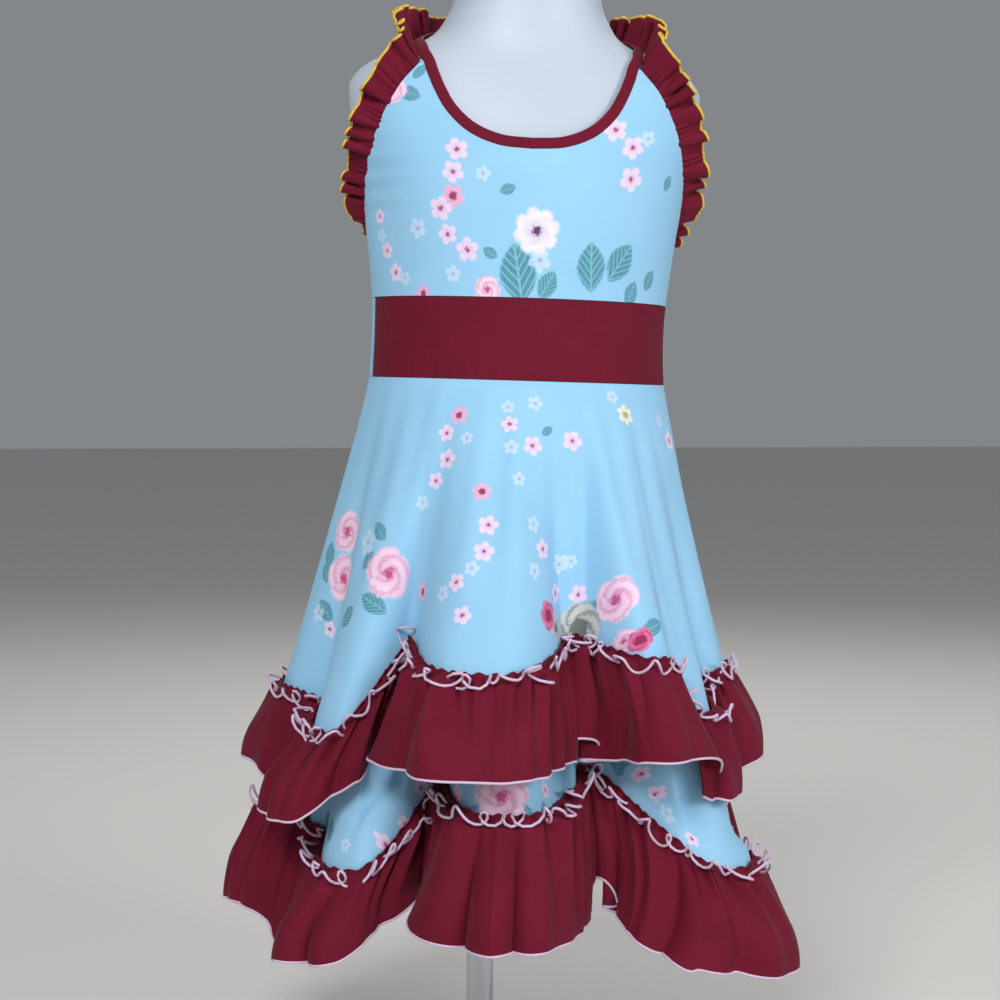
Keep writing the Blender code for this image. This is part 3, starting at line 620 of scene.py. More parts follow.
def lay_print(piece, motifs, outer_faces, seed):
    """Stores on each face its nearest motif: the place in it, its style and its colours."""
    draw = np.random.default_rng(seed)
    panel = piece.name.replace("_cloth", "")
    for repeat in PRINT_REPEATS.get(panel, []):
        make = garland_motifs if isinstance(repeat, Garland) else spray_motifs
        motifs = motifs + make(repeat, draw)
    mesh = piece.data
    corners = np.empty(2 * len(mesh.loops))
    mesh.uv_layers["cloth"].data.foreach_get("uv", corners)
    corners = 1000.0 * corners.reshape(-1, 2)
    sides = np.empty(len(mesh.polygons), dtype=int)
    mesh.polygons.foreach_get("loop_total", sides)
    face_of = np.repeat(np.arange(len(sides)), sides)
    starts = np.concatenate([[0], np.cumsum(sides)[:-1]])
    centres = np.add.reduceat(corners, starts, axis=0) / sides[:, None]
    for layer, members in split_layers(motifs).items():
        place = np.full((len(corners), 3), BARE)
        style = np.zeros((len(corners), 3))
        petal = np.zeros((len(corners), 4))
        eye = np.zeros((len(corners), 4))
        if members:
            middles = np.array([m[1:3] for m in members], float)
            sizes = np.array([m[3] for m in members], float)
            away = np.linalg.norm(centres[:, None] - middles[None], axis=2) / sizes
            nearest = away.argmin(axis=1)[face_of]
            turns = np.radians([m[4] for m in members])[nearest]
            offset = (corners - middles[nearest]) / sizes[nearest][:, None]
            place[:, 0] = offset[:, 0] * np.cos(turns) + offset[:, 1] * np.sin(turns)
            place[:, 1] = -offset[:, 0] * np.sin(turns) + offset[:, 1] * np.cos(turns)
            place[:, 2] = draw.random(len(members))[nearest]
            kinds = [PRINT_KINDS.get(m[0], PRINT_KINDS["faint"]) for m in members]
            style = np.array([[k.petals, k.notch, k.folds] for k in kinds])[nearest]
            petal = np.array([linear(k.petal_colour)[:3] + [k.cover] for k in kinds])[nearest]
            eye = np.array([linear(k.eye_colour)[:3] + [k.eye] for k in kinds])[nearest]
        for name, kind, values in (
            ("place", "FLOAT_VECTOR", place),
            ("style", "FLOAT_VECTOR", style),
            ("petal", "FLOAT_COLOR", petal),
            ("eye", "FLOAT_COLOR", eye),
        ):
            if layer == "leaf" and name != "place":
                continue
            stored = mesh.attributes.new(f"{layer}_{name}", kind, "CORNER")
            key = "vector" if kind == "FLOAT_VECTOR" else "color"
            stored.data.foreach_set(key, np.ascontiguousarray(values, dtype=np.float32).reshape(-1))
    reverse = mesh.attributes.new("reverse", "FLOAT", "FACE")
    reverse.data.foreach_set("value", (np.arange(len(sides)) >= outer_faces).astype(np.float32))


def paint_leaves(material, wobble, under):
    """Teal leaves with paler veins over a colour."""
    stored = node(material, "Attribute", {"attribute_name": "leaf_place"})
    xyz = node(material, "SeparateXYZ", inputs={0: stored.outputs["Vector"]})
    beside = node(material, "Math", {"operation": "ABSOLUTE"}, {0: xyz.outputs["Y"]})
    square = node(material, "Math", {"operation": "MULTIPLY"}, {0: xyz.outputs["X"], 1: xyz.outputs["X"]})
    half = node(material, "Math", {"operation": "MULTIPLY_ADD"}, {0: square, 1: -0.66, 2: 0.66})
    room = node(material, "Math", {"operation": "SUBTRACT"}, {0: half, 1: beside})
    rough = node(material, "Math", {"operation": "MULTIPLY_ADD"}, {0: wobble, 1: 0.16, 2: room})
    cover = node(material, "Math", {"operation": "MULTIPLY", "use_clamp": True}, {0: rough, 1: 9.0})
    faded = node(material, "Math", {"operation": "MULTIPLY"}, {0: cover, 1: 0.88})
    slant = node(material, "Math", {"operation": "MULTIPLY_ADD"}, {0: beside, 1: -1.3, 2: xyz.outputs["X"]})
    turns = node(material, "Math", {"operation": "MULTIPLY"}, {0: slant, 1: 19.0})
    ribs = node(material, "Math", {"operation": "SINE"}, {0: turns})
    sharp = node(material, "Math", {"operation": "MULTIPLY_ADD", "use_clamp": True}, {0: ribs, 1: 2.2, 2: -1.2})
    spine = node(material, "Math", {"operation": "MULTIPLY_ADD", "use_clamp": True}, {0: beside, 1: -16.0, 2: 1.0})
    veins = node(material, "Math", {"operation": "MAXIMUM"}, {0: sharp, 1: spine})
    pale = node(material, "Math", {"operation": "MULTIPLY_ADD", "use_clamp": True}, {0: wobble, 1: 0.9, 2: 0.30})
    body = node(material, "Mix", {"data_type": "RGBA"}, {0: pale, 6: linear("#33788A"), 7: linear("#62A3B4")})
    veined = node(
        material, "Mix", {"data_type": "RGBA"}, {0: veins, 6: body.outputs[2], 7: linear("#7FBACB")}
    )
    return node(
        material, "Mix", {"data_type": "RGBA"}, {0: faded, 6: under, 7: veined.outputs[2]}
    ).outputs[2]


def paint_blooms(material, layer, wobble, under):
    """One layer of flowers: notched petals round an eye, roses with folded rings of petals."""
    place = node(material, "Attribute", {"attribute_name": f"{layer}_place"}).outputs["Vector"]
    style = node(material, "Attribute", {"attribute_name": f"{layer}_style"}).outputs["Vector"]
    petal = node(material, "Attribute", {"attribute_name": f"{layer}_petal"})
    eye = node(material, "Attribute", {"attribute_name": f"{layer}_eye"})
    xyz = node(material, "SeparateXYZ", inputs={0: place})
    look = node(material, "SeparateXYZ", inputs={0: style})
    flat = node(material, "VectorMath", {"operation": "MULTIPLY"}, {0: place, 1: (1.0, 1.0, 0.0)})
    length = node(material, "VectorMath", {"operation": "LENGTH"}, {0: flat}).outputs["Value"]
    turn = node(material, "Math", {"operation": "ARCTAN2"}, {0: xyz.outputs["Y"], 1: xyz.outputs["X"]})
    start = node(material, "Math", {"operation": "MULTIPLY"}, {0: xyz.outputs["Z"], 1: 6.283})
    half = node(material, "Math", {"operation": "MULTIPLY"}, {0: look.outputs["X"], 1: 0.5})
    phase = node(material, "Math", {"operation": "MULTIPLY_ADD"}, {0: turn, 1: half, 2: start})
    wave = node(material, "Math", {"operation": "COSINE"}, {0: phase})
    lobe = node(material, "Math", {"operation": "ABSOLUTE"}, {0: wave})
    round_lobe = node(material, "Math", {"operation": "POWER"}, {0: lobe, 1: 0.55})
    gap = node(material, "Math", {"operation": "SUBTRACT"}, {0: 1.0, 1: round_lobe})
    notch = node(material, "Math", {"operation": "MULTIPLY"}, {0: gap, 1: look.outputs["Y"]})
    reach = node(material, "Math", {"operation": "SUBTRACT"}, {0: 0.93, 1: notch})
    room = node(material, "Math", {"operation": "SUBTRACT"}, {0: reach, 1: length})
    rough = node(material, "Math", {"operation": "MULTIPLY_ADD"}, {0: wobble, 1: 0.20, 2: room})
    cover = node(material, "Math", {"operation": "MULTIPLY", "use_clamp": True}, {0: rough, 1: 6.0})
    faded = node(material, "Math", {"operation": "MULTIPLY"}, {0: cover, 1: petal.outputs["Alpha"]})
    # Folds of a rose run round it in a loose spiral
    rings = node(material, "Math", {"operation": "MULTIPLY_ADD"}, {0: length, 1: 15.0, 2: phase})
    loose = node(material, "Math", {"operation": "MULTIPLY_ADD"}, {0: wobble, 1: 5.0, 2: rings})
    fold = node(material, "Math", {"operation": "SINE"}, {0: loose})
    crease = node(material, "Math", {"operation": "MULTIPLY_ADD", "use_clamp": True}, {0: fold, 1: 0.6, 2: 0.1})
    folds = node(material, "Math", {"operation": "MULTIPLY"}, {0: crease, 1: look.outputs["Z"]})
    inner = node(material, "Math", {"operation": "MULTIPLY_ADD", "use_clamp": True}, {0: length, 1: -1.5, 2: 0.8})
    blush = node(material, "Math", {"operation": "MULTIPLY_ADD"}, {0: inner, 1: 0.42, 2: folds})
    line = node(material, "Math", {"operation": "MULTIPLY_ADD", "use_clamp": True}, {0: rough, 1: -9.0, 2: 0.75})
    tint = node(material, "Math", {"operation": "MULTIPLY_ADD", "use_clamp": True}, {0: line, 1: 0.28, 2: blush})
    petals = node(
        material,
        "Mix",
        {"data_type": "RGBA"},
        {0: tint, 6: petal.outputs["Color"], 7: eye.outputs["Color"]},
    )
    ragged = node(material, "Math", {"operation": "MULTIPLY_ADD"}, {0: wobble, 1: 0.42, 2: eye.outputs["Alpha"]})
    core = node(material, "Math", {"operation": "SUBTRACT"}, {0: ragged, 1: length})
    dark = node(material, "Math", {"operation": "MULTIPLY", "use_clamp": True}, {0: core, 1: 8.0})
    flower = node(
        material,
        "Mix",
        {"data_type": "RGBA"},
        {0: dark, 6: petals.outputs[2], 7: eye.outputs["Color"]},
    )
    return node(
        material, "Mix", {"data_type": "RGBA"}, {0: faded, 6: under, 7: flower.outputs[2]}
    ).outputs[2]


def weave_bump(material, surface, pitch, strength, other=None):
    """Plain weave of a thread every pitch metres, from the cloth's own UV map."""
    cloth = node(material, "UVMap", {"uv_map": "cloth"})
    threads = []
    for direction in ("X", "Y"):
        threads.append(
            node(
                material,
                "TexWave",
                {"wave_type": "BANDS", "bands_direction": direction},
                {"Vector": cloth, "Scale": 0.314 / pitch, "Distortion": 0.6, "Detail": 1.0},
            )
        )
    crossing = node(
        material, "Math", {"operation": "MULTIPLY"}, {0: threads[0].outputs["Fac"], 1: threads[1].outputs["Fac"]}
    )
    bump = node(
        material, "Bump", inputs={"Strength": strength, "Distance": 0.0001, "Height": crossing}
    )
    material.node_tree.links.new(bump.outputs[0], surface.inputs["Normal"])
    return cloth


# Real material: fine plain-woven cotton lawn, 0.3 mm thread pitch, printed in soft watercolour
# tones on one side, so its reverse is paler.
floral_cotton, floral = new_material("printed_cotton_lawn")
cloth = weave_bump(floral_cotton, floral, 0.0003, 0.35)
speckle = node(floral_cotton, "TexNoise", inputs={"Vector": cloth, "Scale": 420.0, "Detail": 2.0})
wobble = node(floral_cotton, "Math", {"operation": "SUBTRACT"}, {0: speckle.outputs["Fac"], 1: 0.5})
cloud = node(floral_cotton, "TexNoise", inputs={"Vector": cloth, "Scale": 14.0, "Detail": 2.0})
ground = node(
    floral_cotton,
    "Mix",
    {"data_type": "RGBA"},
    {0: cloud.outputs["Fac"], 6: linear("#8BC1E2"), 7: linear("#9CCDEC")},
)
colour = paint_leaves(floral_cotton, wobble.outputs[0], ground.outputs[2])
for layer in ("bloom_low", "bloom_top"):
    colour = paint_blooms(floral_cotton, layer, wobble.outputs[0], colour)
stored = node(floral_cotton, "Attribute", {"attribute_name": "reverse"})
pale = node(floral_cotton, "Math", {"operation": "MULTIPLY"}, {0: stored.outputs["Fac"], 1: 0.5})
printed = node(
    floral_cotton, "Mix", {"data_type": "RGBA"}, {0: pale, 6: colour, 7: linear("#A9D2EA")}
)
floral_cotton.node_tree.links.new(printed.outputs[2], floral.inputs["Base Color"])
floral.inputs["Roughness"].default_value = 0.82
floral.inputs["Specular IOR Level"].default_value = 0.2
floral.inputs["Sheen Weight"].default_value = 0.08
floral.inputs["Sheen Roughness"].default_value = 0.5

# Real material: dyed plain-woven cotton, the same weight as the lawn, matt.
burgundy_cotton, burgundy = new_material("dyed_burgundy_cotton")
cloth = weave_bump(burgundy_cotton, burgundy, 0.0004, 0.35)
cloud = node(burgundy_cotton, "TexNoise", inputs={"Vector": cloth, "Scale": 30.0, "Detail": 3.0})
dye = node(
    burgundy_cotton,
    "Mix",
    {"data_type": "RGBA"},
    {0: cloud.outputs["Fac"], 6: linear("#5E0A22"), 7: linear("#700F2A")},
)
burgundy_cotton.node_tree.links.new(dye.outputs[2], burgundy.inputs["Base Color"])
burgundy.inputs["Roughness"].default_value = 0.75
burgundy.inputs["Specular IOR Level"].default_value = 0.15
burgundy.inputs["Sheen Weight"].default_value = 0.04

# Flat cuts: width and length of the piece of cloth, and its area
PanelCut = namedtuple("PanelCut", "width length area")
FRONT_PRINTS = {("upper", "front"): UPPER_FRONT_PRINT, ("lower", "front"): LOWER_FRONT_PRINT}

for is_upper in (True, False):
    tier = "upper" if is_upper else "lower"
    for half, start_deg in (("front", -90.0), ("back", 90.0)):
        angles = even_angles(is_upper, start_deg, start_deg + 180.0, SKIRT_COLUMNS)
        side_gap = math.degrees(0.5 * SEAM_GAP / 0.090)
        angles[0] += side_gap
        angles[-1] -= side_gap
        shares = np.linspace(0.0, 1.0, SKIRT_ROWS + 1)
        points = tier_points(is_upper, angles, shares)
        place = flat_cut(points)
        panel = lay_grid(f"{tier}_skirt_{half}_cloth", settle(points)[::-1], place[::-1])
        outer_faces = len(panel.data.polygons)
        cloth_wall(panel, CLOTH, -1.0)
        lay_print(panel, FRONT_PRINTS.get((tier, half), []), outer_faces, 40 + len(tier + half))
        finish_piece(panel, floral_cotton)
        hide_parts(f"{tier}_skirt_{half}")

# Ruffles of the two tiers.
# Straight strips of burgundy cotton, gathered on a thread and sewn over the hem of each
# tier with a narrow heading left standing. Both edges are serged in pale lilac thread.

HEADING_RISE = 0.0050


def ring_frame(ring):
    """Unit tangents and horizontal outward normals of a ring whose last point is its first."""
    loop = ring[:-1]
    along = unit(np.roll(loop, -1, axis=0) - np.roll(loop, 1, axis=0))
    outward = unit(np.stack([along[:, 1], -along[:, 0], np.zeros(len(loop))], axis=-1))
    return np.vstack([along, along[:1]]), np.vstack([outward, outward[:1]])


# Where a ruffle's hem doubles back over itself
RUFFLE_ROLLS = {
    True: [FoldRoll(40, 8.5, 4.5), FoldRoll(-27, -6.5, 5.0), FoldRoll(208, 6.0, 4.5)],
    False: [FoldRoll(40, -8.5, 4.5), FoldRoll(-17, -5.5, 5.0), FoldRoll(222, 6.5, 4.5)],
}
# Folds are the broad soft waves, gathers the finer ones that fade towards the hem
Gathering = namedtuple("Gathering", "columns folds gathers pleats loops seed")
GATHERING = {
    True: Gathering(1300, 27, 68, 150, 92, 21),
    False: Gathering(1460, 30, 74, 162, 104, 22),
}
RUFFLE_ROWS = 17
HEADING_ROWS = 3
LOOP_SPREAD = 0.0040
LOOP_DROP = 0.0046
SERGE_RADIUS = 0.00095


def ruffle_points(is_upper):
    """Rows from the heading's edge down to the hem."""
    flutes = UPPER_FLUTES if is_upper else LOWER_FLUTES
    g = GATHERING[is_upper]
    angles = even_angles(is_upper, 0.0, 360.0, g.columns)
    seam, above = tier_points(is_upper, angles, [1.0, 0.96])
    angles_true = np.degrees(np.arctan2(seam[:, 0], -seam[:, 1]))
    along, outward = ring_frame(seam)
    up_cloth = unit(above - seam)
    flare, fall = ruffle_reach(flutes, angles)
    radius = np.linalg.norm(seam[:, :2], axis=1)
    around = np.linspace(0.0, 1.0, g.columns + 1)
    fold_phase = 2 * np.pi * (g.folds * around + 0.55 * drift(around, (5, 9, 14), g.seed))
    gather_phase = 2 * np.pi * (g.gathers * around + 0.55 * drift(around, (7, 12, 19), g.seed + 1))
    pleat_phase = 2 * np.pi * (g.pleats * around + 0.5 * drift(around, (11, 19, 27), g.seed + 5))
    strength = np.clip(1.0 + 0.45 * drift(around, (7, 13, 22), g.seed + 2), 0.35, 1.7)
    fine_strength = np.clip(1.0 + 0.5 * drift(around, (9, 16, 25), g.seed + 6), 0.3, 1.8)
    layers = []
    for k in range(HEADING_ROWS, 0, -1):
        share = k / HEADING_ROWS
        crumple = 0.0007 * share * fine_strength * np.cos(gather_phase + 1.3)
        offset = up_cloth * (HEADING_RISE * share * (1.0 + 0.2 * np.cos(pleat_phase)))[:, None]
        proud = 0.0013 + 0.0016 * share + crumple + 0.0006 * np.cos(pleat_phase)
        layers.append(seam + offset + outward * proud[:, None])
    for k in range(RUFFLE_ROWS + 1):
        share = (k / RUFFLE_ROWS) ** 0.9
        line = polar(
            rolled_angle(RUFFLE_ROLLS[is_upper], angles_true, share),
            radius + flare * np.sin(0.5 * np.pi * share) ** 1.1,
            seam[:, 2] - fall * share,
        )
        swing = fold_phase + 1.1 * share * drift(around, (4, 6), g.seed + 7)
        deep = 0.0046 * strength * (0.12 + 0.88 * min(share * 1.7, 1.0) ** 0.9)
        small = 0.0038 * fine_strength * (math.exp(-((share / 0.55) ** 1.5)) + 0.06)
        fold = deep * (np.cos(swing) - 0.25 * np.cos(2 * swing))
        gather = small * np.cos(gather_phase)
        pleat = 0.0014 * fine_strength * math.exp(-share / 0.28) * np.cos(pleat_phase)
        proud = 0.0012 + 0.9 * deep + 0.6 * small + fold + gather + pleat
        sway = -0.35 * deep * np.sin(2 * swing) - 0.3 * small * np.sin(2 * gather_phase)
        layers.append(line + outward * proud[:, None] + along * sway[:, None])
    return np.array(layers)


def heading_loops(is_upper, ruffle):
    """Path of the serged heading edge, which stands off the seam and hangs over it in loops."""
    g = GATHERING[is_upper]
    seam = ruffle[HEADING_ROWS]
    count = 12 * g.loops
    around = np.linspace(0.0, 1.0, count + 1)
    columns = np.linspace(0.0, 1.0, seam.shape[0])
    line = np.stack([np.interp(around, columns, seam[:, i]) for i in range(3)], axis=-1)
    for _ in range(6):
        loop = line[:-1]
        loop = 0.25 * np.roll(loop, 1, axis=0) + 0.5 * loop + 0.25 * np.roll(loop, -1, axis=0)
        line = np.vstack([loop, loop[:1]])
    along, outward = ring_frame(line)
    phase = 2 * np.pi * (g.loops * around + 0.42 * drift(around, (8, 15, 21), g.seed + 3))
    size = np.clip(1.0 + 0.42 * drift(around, (10, 17, 29), g.seed + 4), 0.35, 1.8)[:, None]
    hang = 0.0022 * drift(around, (6, 13, 24), g.seed + 8)[:, None]
    up = np.array([0.0, 0.0, 1.0])
    sideways = along * (-LOOP_SPREAD * np.sin(phase)[:, None] * size)
    upright = up * (0.0016 + LOOP_DROP * size * np.cos(phase)[:, None] + hang)
    proud = outward * (0.0052 + 0.0018 * size * np.sin(phase + 0.8)[:, None])
    return line + sideways + upright + proud


def strip_place(points):
    """UV of a gathered strip: metres along it and metres down it."""
    rows, columns = points.shape[:2]
    middle = points[rows // 2]
    run = np.concatenate([[0.0], np.cumsum(np.linalg.norm(np.diff(middle, axis=0), axis=1))])
    down = np.concatenate([[0.0], np.cumsum(np.linalg.norm(np.diff(points, axis=0), axis=2).mean(1))])
    return np.stack(np.broadcast_arrays(run[None, :], -down[:, None]), axis=-1)


def thread_tube(name, path, radius, sides, material, closed=True):
    """A round thread along a path whose last point, when closed, is its first."""
    if closed:
        loop = path[:-1]
        along = unit(np.roll(loop, -1, axis=0) - np.roll(loop, 1, axis=0))
        along = np.vstack([along, along[:1]])
    else:
        along = unit(np.gradient(path, axis=0))
    guide = unit(np.cross(along, np.array([0.0, 0.0, 1.0])) + 1e-6)
    other = unit(np.cross(along, guide))
    turn = np.linspace(0.0, 2 * np.pi, sides + 1)
    points = path[None] + radius * (
        guide[None] * np.cos(turn)[:, None, None] + other[None] * np.sin(turn)[:, None, None]
    )
    run = np.concatenate([[0.0], np.cumsum(np.linalg.norm(np.diff(path, axis=0), axis=1))])
    place = np.stack(np.broadcast_arrays(run[None, :], (turn / (2 * np.pi) * 0.004)[:, None]), axis=-1)
    tube = lay_grid(name, points, place, closed=True)
    finish_piece(tube, material, sharp_deg=80.0)
    return tube


serging_thread, serging = new_material("serged_lilac_thread")
serging.inputs["Base Color"].default_value = linear("#CDB6D0")
serging.inputs["Roughness"].default_value = 0.7

for is_upper in (True, False):
    tier = "upper" if is_upper else "lower"
    points = ruffle_points(is_upper)
    ruffle = lay_grid(f"{tier}_ruffle_cloth", settle(points)[::-1], strip_place(points)[::-1], closed=True)
    cloth_wall(ruffle, 0.0008, 0.0)
    finish_piece(ruffle, burgundy_cotton, sharp_deg=70.0)
    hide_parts(f"{tier}_ruffle")
    loops = settle(heading_loops(is_upper, points))
    heading = thread_tube(f"{tier}_heading_thread", loops, SERGE_RADIUS, 8, serging_thread)
    edge = settle(points[-1])
    hem = thread_tube(f"{tier}_hem_thread", edge, SERGE_RADIUS, 7, serging_thread)

# Bodice panels and waistband.
# The front is one halter panel of the print; a low panel closes the back. A burgundy band
# is let in across the front at the waist and meets a band of the print at the sides.

SASH_TOP = 0.557
BACK_TOP = 0.597
BACK_DIP = 0.010
SIDE_SEAM_DEG = 91.0
SASH_END_DEG = 79.0
ARMHOLE_FOOT_HEIGHT = 0.599

BODY_HALF_WIDTH = 0.112
BODY_HALF_DEPTH = 0.081

EdgePoint = namedtuple("EdgePoint", "share across height")
NECKLINE = [
    EdgePoint(0.00, 0.000, 0.6560),
    EdgePoint(0.12, 0.022, 0.6580),
    EdgePoint(0.24, 0.042, 0.6665),
    EdgePoint(0.34, 0.056, 0.6800),
    EdgePoint(0.43, 0.064, 0.6940),
    EdgePoint(0.50, 0.069, 0.7060),
    EdgePoint(0.56, 0.0725, 0.7160),
]
ARMHOLE = [
    EdgePoint(0.56, 0.0727, 0.7160),
    EdgePoint(0.63, 0.081, 0.7070),
    EdgePoint(0.70, 0.090, 0.6950),
    EdgePoint(0.78, 0.0985, 0.6790),
    EdgePoint(0.86, 0.105, 0.6600),
    EdgePoint(0.93, 0.1090, 0.6390),
]


def turn_for(across, height, stand_off):
    half_width, _ = form_half_sizes(height)
    return np.arcsin(np.clip(across / (half_width + stand_off), -1.0, 1.0))


def edge_at(wanted):
    """The front panel's upper edge at shares from the centre, 0, to the side seam, 1."""
    points = NECKLINE + ARMHOLE[1:]
    heights = np.array([p.height for p in points])
    turns = turn_for(np.array([p.across for p in points]), heights, CLOTH_STAND_OFF)
    shares = np.append([p.share for p in points], 1.0)
    turns = np.append(turns, np.radians(SIDE_SEAM_DEG))
    heights = np.append(heights, ARMHOLE_FOOT_HEIGHT)
    tip = len(NECKLINE) - 1
    wanted = np.asarray(wanted, float)
    result = []
    for values in (turns, heights):
        neck_side = smooth_curve(shares[: tip + 1], values[: tip + 1], wanted)
        arm_side = smooth_curve(shares[tip:], values[tip:], wanted)
        result.append(np.where(wanted <= shares[tip], neck_side, arm_side))
    return result


def panel_place(turn, height):
    """UV of a fitted panel: metres round the body from its middle and metres up."""
    fine = np.linspace(-np.pi, np.pi, 721)
    pace = np.hypot(BODY_HALF_WIDTH * np.cos(fine), BODY_HALF_DEPTH * np.sin(fine))
    run = np.concatenate([[0.0], np.cumsum(0.5 * (pace[1:] + pace[:-1]) * np.diff(fine))])
    around = np.interp(turn, fine, run - run[len(run) // 2])
    return np.stack(np.broadcast_arrays(around, height), axis=-1)


tip_share = NECKLINE[-1].share
half_shares = np.concatenate([np.linspace(0.0, tip_share, 45), np.linspace(tip_share, 1.0, 40)[1:]])
shares = np.concatenate([-half_shares[:0:-1], half_shares])
top_turn, top_height = edge_at(np.abs(shares))
top_turn = top_turn * np.sign(shares)
foot_turn = shares * np.radians(SIDE_SEAM_DEG)
layers, places = [], []
for rise in np.linspace(0.0, 1.0, 61):
    height = SASH_TOP + SEAM_GAP + (top_height - SASH_TOP - SEAM_GAP) * rise
    turn = foot_turn + (top_turn - foot_turn) * rise
    # Slack creases run in from the wearer's right armhole, and the bust pulls the rest smooth
    slack = np.exp(-(((turn + 1.15) / 0.33) ** 2)) * np.exp(-(((height - 0.640) / 0.030) ** 2))
    crease = 0.0009 * slack * np.sin((height - 0.0030 * turn) / 0.0023)
    ease = 0.0005 * np.sin(7 * turn + 40 * height) * np.sin(np.pi * rise)
    layers.append(on_form(turn, height, CLOTH_STAND_OFF + crease + ease))
    places.append(panel_place(turn, height - SASH_TOP))
front_bodice = lay_grid("front_bodice_cloth", settle(np.array(layers)), np.array(places))
outer_faces = len(front_bodice.data.polygons)
cloth_wall(front_bodice, CLOTH, -1.0)
lay_print(front_bodice, FRONT_BODICE_PRINT, outer_faces, 51)
finish_piece(front_bodice, floral_cotton)
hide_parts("front_bodice")

side = np.radians(SIDE_SEAM_DEG) + SEAM_GAP / 0.105
turn = np.linspace(side, 2 * np.pi - side, 121)
dip = BACK_DIP * np.sin(np.pi * (turn - side) / (turn[-1] - side)) ** 2
foot = SASH_TOP + SEAM_GAP
height = foot + (BACK_TOP - dip - foot) * np.linspace(0.0, 1.0, 15)[:, None]
points = on_form(turn, height, CLOTH_STAND_OFF)
place = panel_place(turn - np.pi, height - SASH_TOP)
back_bodice = lay_grid("back_bodice_cloth", settle(points), place)
outer_faces = len(back_bodice.data.polygons)
cloth_wall(back_bodice, CLOTH, -1.0)
lay_print(back_bodice, [], outer_faces, 52)
finish_piece(back_bodice, floral_cotton)
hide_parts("back_bodice")

band_end = np.radians(SASH_END_DEG)
band_heights = np.linspace(WAIST_SEAM, SASH_TOP, 21)[:, None]
turn = np.linspace(-band_end, band_end, 121)[None, :]
pucker = 0.0004 * np.sin(turn * 61) * np.cos(np.pi * (band_heights - WAIST_SEAM) / (SASH_TOP - WAIST_SEAM)) ** 8
points = on_form(turn, band_heights, CLOTH_STAND_OFF + pucker)
front_band = lay_grid("front_waistband_cloth", settle(points), panel_place(turn, band_heights - WAIST_SEAM))
cloth_wall(front_band, 0.0016, -1.0)
finish_piece(front_band, burgundy_cotton)
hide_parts("front_waistband")

band_gap = SEAM_GAP / 0.100
turn = np.linspace(band_end + band_gap, 2 * np.pi - band_end - band_gap, 141)[None, :]
points = on_form(turn, band_heights, CLOTH_STAND_OFF)
back_band = lay_grid("back_waistband_cloth", settle(points), panel_place(turn - np.pi, band_heights - WAIST_SEAM))
outer_faces = len(back_band.data.polygons)
cloth_wall(back_band, CLOTH, -1.0)
lay_print(back_band, [], outer_faces, 53)
finish_piece(back_band, floral_cotton)
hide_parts("back_waistband")

# Neck binding.
# A bias strip of the burgundy cotton folded over the raw neck edge and stitched through,
# then carried on as a free band round the nape.

NapePoint = namedtuple("NapePoint", "turn_deg height")
NAPE = [
    NapePoint(50.0, 0.7245),
    NapePoint(64.0, 0.7295),
    NapePoint(82.0, 0.7340),
    NapePoint(104.0, 0.7385),
    NapePoint(138.0, 0.7440),
    NapePoint(180.0, 0.7465),
]
BINDING_WIDTH = 0.0075
BINDING_LAP = 0.0011
BINDING_THICKNESS = 0.0023
NECK_POINTS = 400


def run_along(line):
    """Length along a line of points, from its first point to each."""
    return np.concatenate([[0.0], np.cumsum(np.linalg.norm(np.diff(line, axis=0), axis=1))])


def neck_points(turn, height):
    return on_form(np.array(turn), np.array(height), CLOTH_STAND_OFF - 0.5 * PART_CLOTH)


def half_neck_edge():
    """Close-set turns and heights of the neck edge, centre front to nape, and the strap point."""
    turns = [turn_for(p.across, p.height, CLOTH_STAND_OFF) for p in NECKLINE]
    turns += [np.radians(p.turn_deg) for p in NAPE]
    heights = [p.height for p in NECKLINE + NAPE]
    run = run_along(neck_points(turns, heights))
    wanted = np.linspace(0.0, run[-1], NECK_POINTS + 1)
    strap_point = int(np.searchsorted(wanted, run[len(NECKLINE) - 1]))
    return smooth_curve(run, turns, wanted), smooth_curve(run, heights, wanted), strap_point


neck_turns, neck_heights, strap_point = half_neck_edge()
turn = np.concatenate([neck_turns, 2 * np.pi - neck_turns[-2::-1]])
height = np.concatenate([neck_heights, neck_heights[-2::-1]])
line = neck_points(turn, height)
along, _ = ring_frame(line)
normal = form_normal(turn, height, CLOTH_STAND_OFF)
inward = unit(np.cross(normal, along))
section = np.linspace(0.0, 2 * np.pi, 25)
half_band = 0.5 * BINDING_WIDTH
layers = []
for a in section:
    across = half_band - BINDING_LAP - half_band * np.sign(np.cos(a)) * abs(np.cos(a)) ** 0.6
    proud = 0.0004 + 0.5 * BINDING_THICKNESS * np.sign(np.sin(a)) * abs(np.sin(a)) ** 0.7
    layers.append(line + inward * across + normal * proud)
points = np.array(layers)
binding = lay_grid("neck_binding_cloth", settle(points), strip_place(points), closed=True)
activate(binding)
bpy.ops.object.mode_set(mode="EDIT")
bpy.ops.mesh.select_all(action="SELECT")
bpy.ops.mesh.normals_make_consistent(inside=False)
bpy.ops.object.mode_set(mode="OBJECT")
finish_piece(binding, burgundy_cotton, sharp_deg=80.0)
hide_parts("neck_binding")

# Armhole frills.
# Gathered burgundy strips caught in the armhole seam and carried round the neck. Their free
# edge is overlocked in yellow thread while stretched, which makes it wave like lettuce.

FRILL_WIDTH = 0.0185
FRILL_WAVES = 18
FRILL_COLUMNS = 540
FRILL_ROWS = 12
FRILL_END_DEG = 171.0
